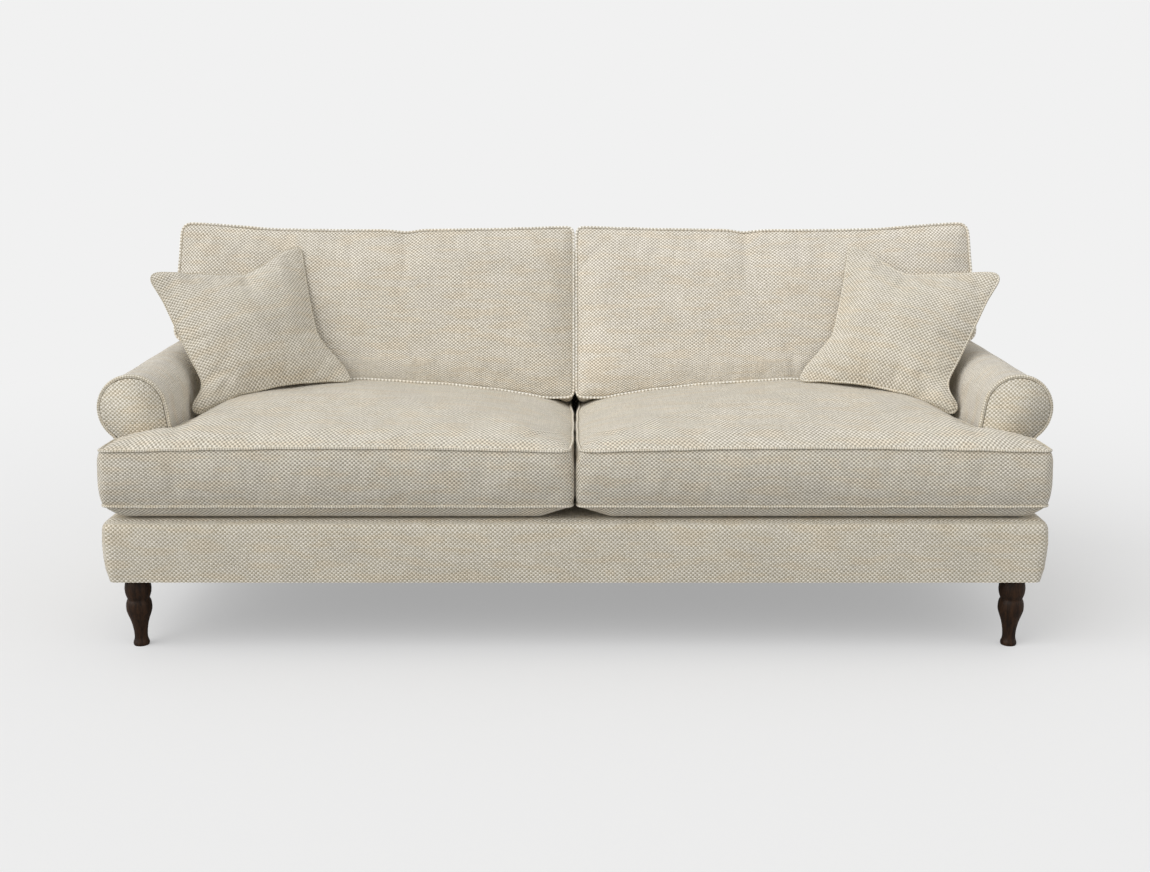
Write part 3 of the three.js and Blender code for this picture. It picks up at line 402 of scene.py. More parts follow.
def finished(name, bm, material, smooth=True, levels=0):
    """The object of a finished bmesh, at the origin, with its material and its subdivision."""
    mesh = bpy.data.meshes.new(name)
    bm.to_mesh(mesh)
    bm.free()
    piece = bpy.data.objects.new(name, mesh)
    bpy.context.scene.collection.objects.link(piece)
    mesh.materials.append(material)
    if smooth:
        mesh.shade_smooth()
    else:
        mesh.shade_flat()
    if levels:
        soften(piece, levels)
    return piece


def soften(piece, levels=1):
    rounding = piece.modifiers.new("Soften", "SUBSURF")
    rounding.levels = rounding.render_levels = levels


def settle(piece, body, slot, *nodes):
    """Attaches a piece to the body that it moves with and hides the frame pieces that it stands in for. The
    slot is not used.
    """
    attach(piece, body)
    if nodes:
        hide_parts(*nodes)


def outward(bm):
    bmesh.ops.recalc_face_normals(bm, faces=bm.faces)


def walled(bm, thickness):
    """Gives a sheet of cloth its thickness."""
    bmesh.ops.solidify(bm, geom=bm.faces[:], thickness=thickness)
    outward(bm)


def stepped_in(bm, face, steps):
    """Rounds a flat face up toward its middle, by a width and a rise at each step."""
    for width, rise in steps:
        bmesh.ops.inset_region(bm, faces=[face], thickness=width, depth=rise, use_even_offset=False)


def cut_pattern(bm, stretch=(1, 1, 1)):
    """The UV map of the flat cloth: each face takes the two axes that it lies along, in metres of cloth."""
    cut = bm.loops.layers.uv.new("cut")
    for face in bm.faces:
        face.normal_update()
        facing = [abs(part) for part in face.normal]
        widest = facing.index(max(facing))
        first, second = ((1, 2), (0, 2), (0, 1))[widest]
        for loop in face.loops:
            loop[cut].uv = (loop.vert.co[first] * stretch[first], loop.vert.co[second] * stretch[second])


def places(vertices):
    return np.array([v.co[:] for v in vertices], float)


def move_to(bm, points):
    """Puts each vertex at its new place."""
    for vert, point in zip(bm.verts, points):
        vert.co = point


def patch(bm, low, high, step):
    """A flat grid between two corners in X and Y, in cells of about the step."""
    size = [high[0] - low[0], high[1] - low[1]]
    counts = [max(1, round(length / step)) for length in size]
    middle = Matrix.Translation(((low[0] + high[0]) / 2, (low[1] + high[1]) / 2, 0))
    place = middle @ Matrix.Diagonal((size[0], size[1], 1, 1))
    bmesh.ops.create_grid(bm, x_segments=counts[0], y_segments=counts[1], size=0.5, matrix=place)


def slab(patches, thickness, cuts, step=grid_step):
    """Patches sewn together and drawn up into a slab, with its walls cut into bands."""
    bm = bmesh.new()
    for low, high in patches:
        patch(bm, low, high, step)
    bmesh.ops.remove_doubles(bm, verts=bm.verts, dist=1e-5)
    drawn = bmesh.ops.extrude_face_region(bm, geom=bm.faces[:], use_keep_orig=True)["geom"]
    top = [part for part in drawn if isinstance(part, bmesh.types.BMVert)]
    bmesh.ops.translate(bm, verts=top, vec=(0, 0, thickness))
    upright = [e for e in bm.edges if abs(e.verts[0].co.z - e.verts[1].co.z) > thickness / 2]
    bmesh.ops.subdivide_edges(bm, edges=upright, cuts=cuts)
    outward(bm)
    bm.verts.index_update()
    bm.verts.ensure_lookup_table()
    return bm


def stood_up(bm):
    """Stands a slab on its front edge, so that its top comes to face the front of the sofa."""
    bmesh.ops.rotate(bm, cent=(0, 0, 0), matrix=Matrix.Rotation(math.radians(90), 3, "X"), verts=bm.verts)
    outward(bm)


def clipped(value):
    return np.clip(value, 0, 1)


def on_line(values, place):
    """Whether each value is on a seam line of the flat pattern."""
    return np.abs(values - place) < on_seam


def off_segment(x, y, start, end):
    """How far points lie from a straight line between two places, and how far along it, from 0 to 1."""
    run = np.array([end[0] - start[0], end[1] - start[1]])
    along = clipped(((x - start[0]) * run[0] + (y - start[1]) * run[1]) / (run @ run))
    return np.hypot(x - start[0] - along * run[0], y - start[1] - along * run[1]), along


def edge_distance(x, y, corners, reaches=None):
    """How far points lie from the sides of a polygon, as a share of each side's reach if that is given."""
    least = np.full(x.shape, 1e9)
    for k, corner in enumerate(corners):
        distance, _ = off_segment(x, y, corner, corners[(k + 1) % len(corners)])
        least = np.minimum(least, distance / (reaches[k] if reaches else 1))
    return least


def fullness(distance, reach, power=2.25):
    """How full the filling is at a distance from the seam: 0 at the seam, and 1 from the reach on."""
    return 1 - (1 - np.minimum(distance / reach, 1)) ** power


def eased_step(value, low, high):
    share = clipped((value - low) / (high - low))
    return share * share * (3 - 2 * share)


def rounded_corner(x, y, corner, inward, radius):
    """Draws the points near a square corner in, so that the corner becomes round."""
    a = 1 - (x - corner[0]) * inward[0] / radius
    b = 1 - (y - corner[1]) * inward[1] / radius
    near = (a > 0) & (b > 0)
    most = np.maximum(a, b)
    length = np.maximum(np.hypot(a, b), 1e-9)
    new_x = np.where(near, corner[0] + inward[0] * radius * (1 - a * most / length), x)
    new_y = np.where(near, corner[1] + inward[1] * radius * (1 - b * most / length), y)
    return new_x, new_y


def pushed_out(x, y, wall, bulge, normal_x, normal_y):
    """Moves the points of a wall outward by its bulge."""
    length = np.maximum(np.hypot(normal_x, normal_y), 1)
    new_x = x + np.where(wall, bulge * normal_x / length, 0)
    new_y = y + np.where(wall, bulge * normal_y / length, 0)
    return new_x, new_y


def kept(points, axis, chosen, at_least=-np.inf, at_most=np.inf):
    """Holds one coordinate of the chosen points within its limits."""
    within = np.clip(points[:, axis], at_least, at_most)
    points[:, axis] = np.where(chosen, within, points[:, axis])


def evened(values):
    """Smooths a row of values once, with both its ends kept."""
    values[1:-1] = (values[:-2] + 2 * values[1:-1] + values[2:]) / 4
    return values


def rippled(points, scale, seed):
    """Smooth noise from -1 to 1 at each point."""
    shift = Vector((seed * 7.3, seed * 3.1, seed * 1.7))
    return np.array([noise.noise(Vector(p) * scale + shift) for p in points])


def seam_loop(bm, wanted):
    """The wanted vertices' indices, in order round a closed seam."""
    chosen = {bm.verts[i] for i in np.nonzero(wanted)[0]}
    start = min(chosen, key=lambda v: v.index)
    loop, last, here = [start], None, start
    while True:
        ahead = [e.other_vert(here) for e in here.link_edges if e.other_vert(here) in chosen]
        ahead = [v for v in ahead if v is not last]
        if not ahead or (ahead[0] is start and len(loop) > 2):
            break
        following = ahead[0] if ahead[0] not in loop else ahead[-1]
        if following is start or following in loop:
            break
        loop.append(following)
        last, here = here, following
    return [v.index for v in loop]


def pinned(seam, shown, hidden):
    """How firmly each point is held while a cover fills: the seams wholly, the hidden panel nearly so."""
    pins = np.where(seam & (shown | hidden), 1.0, 0.0)
    return np.where(hidden & ~seam, 0.9, pins)


def swollen(piece, pins, looseness, cap, frames=20):
    """Blows the cloth of a sewn piece up with the pins held, and gives back where its points went."""
    start = places(piece.data.vertices)
    group = piece.vertex_groups.new(name="held")
    for index, weight in enumerate(pins):
        if weight > 0:
            group.add([index], float(weight), "REPLACE")
    cloth = piece.modifiers.new("Filling", "CLOTH")
    fabric = cloth.settings
    fabric.vertex_group_mass = "held"
    fabric.use_pressure = True
    fabric.uniform_pressure_force = 3.0
    fabric.shrink_min = -looseness
    fabric.quality = 6
    fabric.mass = 0.25
    fabric.tension_stiffness = fabric.compression_stiffness = 12
    fabric.shear_stiffness = 4
    fabric.bending_stiffness = 0.4
    fabric.effector_weights.gravity = 0
    cloth.collision_settings.use_collision = False
    cloth.point_cache.frame_start = 1
    cloth.point_cache.frame_end = frames
    for step in range(1, frames + 1):
        bpy.context.scene.frame_set(step)
    shown = piece.evaluated_get(bpy.context.evaluated_depsgraph_get())
    ended = places(shown.data.vertices)
    piece.modifiers.remove(cloth)
    piece.vertex_groups.remove(group)
    bpy.context.scene.frame_set(1)
    moved = ended - start
    length = np.linalg.norm(moved, axis=1, keepdims=True)
    return start + moved * np.minimum(1, cap / np.maximum(length, 1e-9))


def reshaped(piece, points):
    piece.data.vertices.foreach_set("co", np.asarray(points, np.float32).ravel())
    piece.data.update()


def resampled(points, step, closed=True):
    """Points at even steps on a smooth curve through the given ones."""
    given = np.asarray(points, float)
    if closed:
        given = np.vstack([given, given[:1]])
    run = np.concatenate([[0], np.cumsum(np.linalg.norm(np.diff(given, axis=0), axis=1))])
    count = max(8, round(run[-1] / step))
    at = np.linspace(0, run[-1], count, endpoint=not closed)
    spread = np.stack([np.interp(at, run, given[:, k]) for k in range(3)], 1)
    if closed:
        return (np.roll(spread, 1, 0) + 2 * spread + np.roll(spread, -1, 0)) / 4
    return evened(spread)


def make_piping(name, path, radius, material, closed=True, step=0.008):
    """Covered cord along a seam. Its cut map runs along and round the cord."""
    path = resampled(path, step, closed)
    curve = bpy.data.curves.new(name, "CURVE")
    curve.dimensions = "3D"
    curve.bevel_depth = radius
    curve.bevel_resolution = 2
    curve.use_fill_caps = not closed
    spline = curve.splines.new("POLY")
    spline.points.add(len(path) - 1)
    spline.points.foreach_set("co", np.hstack([path, np.ones((len(path), 1))]).astype(np.float32).ravel())
    spline.use_cyclic_u = closed
    cord = bpy.data.objects.new(name, curve)
    bpy.context.scene.collection.objects.link(cord)
    bpy.context.view_layer.update()
    mesh = bpy.data.meshes.new_from_object(cord.evaluated_get(bpy.context.evaluated_depsgraph_get()))
    bpy.data.objects.remove(cord)
    bm = bmesh.new()
    bm.from_mesh(mesh)
    bpy.data.meshes.remove(mesh)
    bmesh.ops.remove_doubles(bm, verts=bm.verts, dist=1e-7)
    bm.verts.index_update()
    rings = len(path)
    around = len(bm.verts) // rings
    cut = bm.loops.layers.uv.new("cut")
    turn = 2 * math.pi * radius / around
    for face in bm.faces:
        ring = [loop.vert.index // around for loop in face.loops]
        spoke = [loop.vert.index % around for loop in face.loops]
        ring = [r + rings if max(ring) - r > rings / 2 else r for r in ring]
        spoke = [k + around if max(spoke) - k > around / 2 else k for k in spoke]
        for loop, r, k in zip(face.loops, ring, spoke):
            loop[cut].uv = (r * step, k * turn)
    outward(bm)
    return finished(name, bm, material)


def mirrored(piece, name, material):
    """The same piece for the other side of the sofa."""
    bm = bmesh.new()
    bm.from_mesh(piece.data)
    bmesh.ops.scale(bm, vec=(-1, 1, 1), verts=bm.verts)
    bmesh.ops.reverse_faces(bm, faces=bm.faces)
    levels = [m.levels for m in piece.modifiers if m.type == "SUBSURF"]
    return finished(name, bm, material, levels=levels[0] if levels else 0)


def settled_pair(kind, right):
    """Settles the right cover of a kind of cushion and its mirrored twin, and gives back both."""
    left = mirrored(right, f"{kind}_cushion_left", cloths[f"{kind}_left"])
    for side, piece in (("right", right), ("left", left)):
        settle(piece, f"{kind}_cushion_{side}", "fabric", f"{kind}_cushion_cover_{side}")
    return right, left


def tree_of(piece):
    return BVHTree.FromObject(piece, bpy.context.evaluated_depsgraph_get())


def height_under(tree, point):
    """Height of the surface above or below a point, or far below where there is none."""
    hit = tree.ray_cast(Vector((point[0], point[1], 1.2)), Vector((0, 0, -1)))[0]
    return hit.z if hit is not None else -1.0


# Seat cushions


def seat_side(z):
    """X of the seat cushion's side along the arm."""
    return arm_inner_x(z) - seat_arm_gap


def seat_corners(arm_side):
    return [
        (seat_inner, seat_front), (seat_outer, seat_front), (seat_outer, seat_ear_rear),
        (arm_side, seat_ear_rear), (arm_side, seat_rear), (seat_inner, seat_rear),
    ]


# How far in from each side the seat still rises, in the order of seat_corners: from the front, from the outer
# end, from behind the ear, from the arm, from the rear and from the middle of the sofa
seat_crown_reaches = (0.43, 0.36, 0.09, 0.10, 0.15, 0.42)
seat_push_at = 0.151
seat_top_slack = 0.5


def seat_top_z(x, y):
    """Height of the top. It rises from each seam, most toward the arm, and is pushed up by the arm's foot."""
    across = clipped((x - seat_inner) / (seat_outer - seat_inner))
    rearward = y - seat_front
    bow = seat_bow * np.sin(np.pi * across) - rearward * seat_tilt
    corners = seat_corners(seat_side(seat_welt_high))
    full = fullness(edge_distance(x, y, corners, seat_crown_reaches), 1)
    past = rearward - seat_push_at
    by_arm = clipped((seat_outer + 0.004 - x) / 0.13) ** 1.3
    by_arm = by_arm * np.where(past < 0, clipped(rearward / seat_push_at), clipped(1 - past / 0.36))
    pushed = 0.0245 * by_arm * eased_step(x, 0.6, 0.93)
    crown = seat_crown + 0.015 * np.exp(-(((x - 0.62) / 0.27) ** 2)) * eased_step(rearward, 0.15, 0.42)
    return seat_welt_high + bow + pushed + (crown - pushed) * full


def cut_seat_cloth(bm):
    """The flat cloth of the seat cushion: its band, its top and the underside with its rounded front."""
    cut_pattern(bm, seat_cloth_stretch)
    cut = bm.loops.layers.uv["cut"]
    reach = np.linspace(0, seat_under_reach, 40)
    drop = (seat_welt_low - deck_top) * np.sqrt(1 - (1 - reach / seat_under_reach) ** 2)
    girth = np.concatenate([[0], np.cumsum(np.hypot(np.diff(reach), np.diff(drop)))])
    for face in bm.faces:
        if abs(face.normal.z) < 0.5:
            continue
        for loop in face.loops:
            rearward = loop.vert.co.y - seat_front
            if face.normal.z > 0:
                # The cloth of the top is drawn tight over the front, and less so toward the rear
                loop[cut].uv.y = -math.log(1 - seat_top_slack * rearward) / seat_top_slack / seat_draw
            else:
                # The cloth of the underside follows its rounded front edge
                loop[cut].uv.y = -np.interp(rearward, reach, girth) - max(0, rearward - seat_under_reach)


def make_seat_cushion():
    """Right seat cushion, T-shaped, with its crown, its drawn-in seams and its rounded underside."""
    low_side, high_side = seat_side(seat_welt_low), seat_side(seat_welt_high)
    flat_side = (low_side + high_side) / 2
    boxing = seat_welt_high - seat_welt_low
    patches = [
        ((seat_inner, seat_front), (flat_side, seat_ear_rear)),
        ((seat_inner, seat_ear_rear), (flat_side, seat_rear)),
        ((flat_side, seat_front), (seat_outer, seat_ear_rear)),
    ]
    bm = slab(patches, boxing, 7)
    cut_seat_cloth(bm)
    flat = places(bm.verts)
    flat_x, flat_y, up = flat[:, 0], flat[:, 1], flat[:, 2] / boxing
    x, y = flat_x, flat_y
    for corner, inward in (
        ((seat_inner, seat_front), (1, 1)), ((seat_outer, seat_front), (-1, 1)),
        ((seat_outer, seat_ear_rear), (-1, -1)), ((flat_side, seat_rear), (-1, -1)),
        ((seat_inner, seat_rear), (1, -1)),
    ):
        x, y = rounded_corner(x, y, corner, inward, seat_corner_round)
    # The side along the arm follows the slope of the arm, and the front stays square
    inner_share = (flat_x - seat_inner) / (flat_side - seat_inner)
    outer_share = 1 - (flat_x - flat_side) / (seat_outer - flat_side)
    rearward = clipped((flat_y - seat_front) / (seat_ear_rear - seat_front))
    lean = low_side + (high_side - low_side) * up - flat_side
    x = x + lean * clipped(np.minimum(inner_share, outer_share)) ** 2 * rearward
    on_top = up > 0.999
    on_bottom = up < 0.001
    from_seam = edge_distance(flat_x, flat_y, seat_corners(flat_side))
    seam = from_seam < on_seam
    wall = seam & ~on_top & ~on_bottom
    top_z = seat_top_z(x, y)
    # The underside hangs below its seam, and rises to it slowly toward the two front corners
    depth = 1 - np.minimum(from_seam / seat_under_reach, 1)
    from_inner = clipped((flat_x - seat_inner + 0.017) / 0.094)
    from_outer = clipped((seat_outer - flat_x + 0.03) / 0.075)
    hang = np.sqrt(np.maximum(0, 1 - depth ** 2)) * from_inner * from_outer
    under_z = seat_welt_low - (seat_welt_low - deck_top - rest_gap) * hang
    z = np.where(on_top, top_z, np.where(on_bottom, under_z, seat_welt_low + (top_z - seat_welt_low) * up))
    # The inner side draws back from its neighbour at the front and the rear, and wavers between
    run_back = clipped((flat_y - seat_front) / 0.6)
    draw = 0.0065 * (1 - np.sin(np.pi * run_back) ** 0.8) + 0.0012 * np.sin(run_back * 21)
    x = x + np.maximum(draw, 0) * clipped(1 - (flat_x - seat_inner) / 0.05) * clipped((up - 0.3) / 0.7)
    # The band between the welts bulges, and each welt sits in a groove
    bulge = seat_band_bulge * np.sin(np.pi * clipped(up)) ** 0.7
    along_arm = on_line(flat_x, flat_side) & (flat_y > seat_ear_rear + on_seam)
    behind_ear = on_line(flat_y, seat_ear_rear) & (flat_x > flat_side + on_seam)
    normal_x = 1.0 * on_line(flat_x, seat_outer) - on_line(flat_x, seat_inner) + along_arm
    normal_y = 1.0 * on_line(flat_y, seat_rear) - on_line(flat_y, seat_front) + behind_ear
    x, y = pushed_out(x, y, wall, bulge, normal_x, normal_y)
    points = np.stack([x, y, z], 1)
    move_to(bm, points)
    top_loop = seam_loop(bm, seam & on_top)
    low_loop = seam_loop(bm, seam & on_bottom)
    piece = finished("seat_cushion_right", bm, cloths["seat_right"])
    # Soft unevenness of the filling, strongest in the middle of the top
    lumps = rippled(points, 5.5, 1) * 0.004 + rippled(points, 12.0, 2) * 0.0016
    points[:, 2] += np.where(on_top & ~seam, lumps * fullness(from_seam, 0.08), 0)
    reshaped(piece, points)
    points = swollen(piece, pinned(seam, on_top, on_bottom), 0.012, 0.008)
    kept(points, 0, wall & on_line(flat_x, seat_inner), at_least=middle_gap)
    by_arm = (flat_x > flat_side - 0.03) & (flat_x <= flat_side + on_seam)
    by_arm = by_arm & (flat_y > seat_ear_rear - on_seam)
    kept(points, 0, by_arm, at_most=arm_inner_x(points[:, 2]) - arm_gap)
    ear = (flat_x > flat_side + on_seam) & (flat_y > seat_ear_rear - 0.02)
    kept(points, 1, ear, at_most=arm_front - arm_gap)
    kept(points, 1, True, at_most=back_y(points[:, 2]) - 0.002)
    kept(points, 1, True, at_least=-half_depth - 0.008)
    kept(points, 2, True, at_least=deck_top + rest_gap)
    reshaped(piece, points)
    soften(piece)
    return piece, points[top_loop], points[low_loop]


seat_right, seat_top_seam, seat_low_seam = make_seat_cushion()
for piece in settled_pair("seat", seat_right):
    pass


def seam_piping(name, body_prefix, seam, radius, cloth="piping"):
    """Piping along the same seam of the right and the left cushion, sewn a little unevenly."""
    wander = rippled(seam, 26.0, 15) * 0.0011
    for side, sign in sides.items():
        path = (seam + wander[:, None] * np.array([0.35, 0.35, 1])) * np.array([sign, 1, 1])
        cord = make_piping(f"{name}_{side}", path, radius, cloths[cloth])
        settle(cord, f"{body_prefix}_{side}", "fabric")


seam_piping("seat_top_piping", "seat_cushion", seat_top_seam + np.array([0, 0, 0.0005]), seam_radius)
seam_piping("seat_low_piping", "seat_cushion", seat_low_seam, seam_radius)


# Back cushions


def back_corners(arm_side):
    return [
        (back_inner, back_low), (arm_side, back_low), (arm_side, back_ear_low),
        (back_outer, back_ear_low), (back_outer, back_top), (back_inner, back_top),
    ]


def standing_heights(seat_tree, points):
    """How low the back cushion can come over each point of the seat cushion."""
    return np.array([height_under(seat_tree, point) for point in points]) + rest_gap + 0.001


def make_back_cushion(seat_tree):
    """Right back cushion: it stands on the seat cushion, and its ear lies over the roll of the arm."""
    arm_side = arm_inner_x(roll_z) - back_arm_gap
    patches = [
        ((back_inner, back_low), (arm_side, back_ear_low)),
        ((back_inner, back_ear_low), (arm_side, back_top)),
        ((arm_side, back_ear_low), (back_outer, back_top)),
    ]
    bm = slab(patches, back_depth, 7)
    stood_up(bm)
    cut_pattern(bm, back_cloth_stretch)
    flat = places(bm.verts)
    flat_x, flat_h, to_front = flat[:, 0], flat[:, 2], -flat[:, 1] / back_depth
    from_seam = edge_distance(flat_x, flat_h, back_corners(arm_side))
    seam = from_seam < on_seam
    on_front = to_front > 0.999
    on_rear = to_front < 0.001
    wall = seam & ~on_front & ~on_rear
    x, h = flat_x, flat_h
    for corner, inward, radius in (
        ((back_inner, back_low), (1, 1), 0.011), ((arm_side, back_low), (-1, 1), 0.02),
        ((back_outer, back_ear_low), (-1, 1), 0.03), ((back_outer, back_top), (-1, -1), 0.022),
        ((back_inner, back_top), (1, -1), 0.016),
    ):
        x, h = rounded_corner(x, h, corner, inward, radius)
    share_up = (h - back_low) / (back_top - back_low)
    # The top edge sags a little between its corners, with one soft dimple
    across = clipped((x - back_inner) / (back_outer - back_inner))
    sag = 0.010 * np.sin(np.pi * across) ** 0.9 + 0.006 * np.exp(-(((x - 0.465) / 0.03) ** 2))
    sag = sag - 0.010 * eased_step(x, 0.78, 1.04)
    x = x - 0.008 * clipped(share_up) ** 2 * eased_step(x, 0.9, 1.08)
    belly = back_belly * fullness(from_seam, back_belly_reach)
    belly = belly + back_edge_roll * fullness(from_seam, 0.04, 2)
    front_y = back_front_y + (h - back_low) * back_lean - belly
    front_z = h - sag * clipped(share_up) ** 3
    rear_h = back_low + share_up * (back_rear_top - back_low)
    rear_y = back_y(rear_h) - 0.0095 + 0.0075 * fullness(from_seam, 0.05)
    y = rear_y + (front_y - rear_y) * to_front
    z = rear_h + (front_z - rear_h) * to_front
    bulge = back_band_bulge * np.sin(np.pi * clipped(to_front)) ** 0.6
    beside_arm = on_line(flat_x, arm_side) & (flat_h < back_ear_low - on_seam)
    normal_x = 1.0 * on_line(flat_x, back_outer) - on_line(flat_x, back_inner) + beside_arm
    x, z = pushed_out(x, z, wall, bulge, normal_x, 1.0 * on_line(flat_h, back_top))
    # The band under the cushion is full and hangs below its seam
    hang = back_band_hang * np.sin(np.pi * clipped(to_front)) ** 0.35
    z = z - np.where(wall & on_line(flat_h, back_low), hang, 0)
    points = np.stack([x, y, z], 1)
    lumps = rippled(points, 5.0, 4) * 0.005 + rippled(points, 11.0, 5) * 0.002
    points[:, 1] += np.where(on_front & ~seam, lumps * fullness(from_seam, 0.08), 0)
    move_to(bm, points)
    front_loop = seam_loop(bm, seam & on_front)
    rear_loop = seam_loop(bm, seam & on_rear)
    piece = finished("back_cushion_right", bm, cloths["back_right"])
    points = swollen(piece, pinned(seam, on_front, on_rear), 0.014, 0.012)
    kept(points, 0, wall & on_line(flat_x, back_inner), at_least=middle_gap)
    arm_wall = (np.abs(flat_x - arm_side) < 0.02) & (flat_h < back_ear_low)
    kept(points, 0, arm_wall, at_most=arm_inner_x(points[:, 2]) - arm_gap)
    # The rear stays in front of the padded back, and its zip lies in a shallow groove
    zip_low, zip_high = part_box("back_cushion_zip_right")
    groove = np.exp(-(((points[:, 2] - (zip_low.z + zip_high.z) / 2) / 0.018) ** 2))
    groove = groove * ((points[:, 0] > zip_low.x - 0.01) & (points[:, 0] < zip_high.x + 0.01))
    kept(points, 1, True, at_most=back_y(points[:, 2]) - rest_gap - 0.0055 * groove)
    # The underside is pressed to the crown of the seat. Toward the middle the back cushion keeps its
    # straight lower edge over the falling corner of the seat
    stands = standing_heights(seat_tree, points)
    beneath = points.copy()
    kept(beneath, 0, True, at_least=0.08)
    rise = np.maximum(0, standing_heights(seat_tree, beneath) - back_low)
    squeeze = clipped((back_low + 0.16 - points[:, 2]) / 0.16)
    points[:, 2] = np.maximum(points[:, 2] + rise * squeeze ** 1.5, stands)
    # What lies over the arm is pressed to the roll
    reach = roll_radius + arm_gap
    over = np.hypot(points[:, 0] - roll_x, points[:, 2] - roll_z)
    pressed = (points[:, 0] > arm_side - 0.02) & (over < reach) & (points[:, 2] > roll_z)
    on_roll = roll_z + (points[:, 2] - roll_z) * (reach / np.maximum(over, 1e-6))
    points[:, 2] = np.where(pressed, on_roll, points[:, 2])
    reshaped(piece, points)
    soften(piece)
    return piece, points[front_loop], points[rear_loop]


seat_surface = tree_of(seat_right)
back_right, back_front_seam, back_rear_seam = make_back_cushion(seat_surface)
for piece in settled_pair("back", back_right):
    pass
seam_piping("back_front_piping", "back_cushion", back_front_seam, seam_radius, "pale_piping")
seam_piping("back_rear_piping", "back_cushion", back_rear_seam, seam_radius)


# Scatter cushions


# How far each side of the scatter cushion draws in, at places from -1 at one corner to 1 at the next
scatter_pulls = {
    "top": [
        (-1, -0.003), (-0.85, 0.0), (-0.7, 0.008), (-0.45, 0.033), (-0.3, 0.045), (-0.17, 0.053),
        (-0.08, 0.052), (0.05, 0.045), (0.4, 0.027), (0.8, 0.005), (1, 0),
    ],
    "bottom": [
        (-1, 0), (-0.75, 0.018), (-0.41, 0.030), (-0.1, 0.036), (0.2, 0.036), (0.54, 0.024), (0.82, 0.006),
        (1, 0),
    ],
    "inner": [
        (-1, 0), (-0.78, 0.006), (-0.54, 0.027), (-0.28, 0.046), (-0.06, 0.041), (0.37, 0.027), (0.76, 0.011),
        (1, 0),
    ],
    "outer": [
        (-1, 0), (-0.9, -0.004), (-0.8, 0.008), (-0.68, 0.036), (-0.55, 0.045), (-0.22, 0.035), (0.17, 0.026),
        (0.6, 0.017), (0.83, 0.006), (1, 0),
    ],
}


def pulled(name, along):
    """How far a side of the scatter cushion draws in, smoothly along its length."""
    known = np.array(scatter_pulls[name])
    fine = np.linspace(-1, 1, 81)
    drawn = np.interp(fine, known[:, 0], known[:, 1])
    for _ in range(3):
        drawn = evened(drawn)
    return np.interp(along, fine, drawn)


def crease(u, v, start, end, width):
    """A valley along a line on the unit square, deepest at its start and gone at its end."""
    off, along = off_segment(u, v, start, end)
    return np.exp(-((off / (width * (0.6 + along))) ** 2)) * (1 - along) ** 0.7


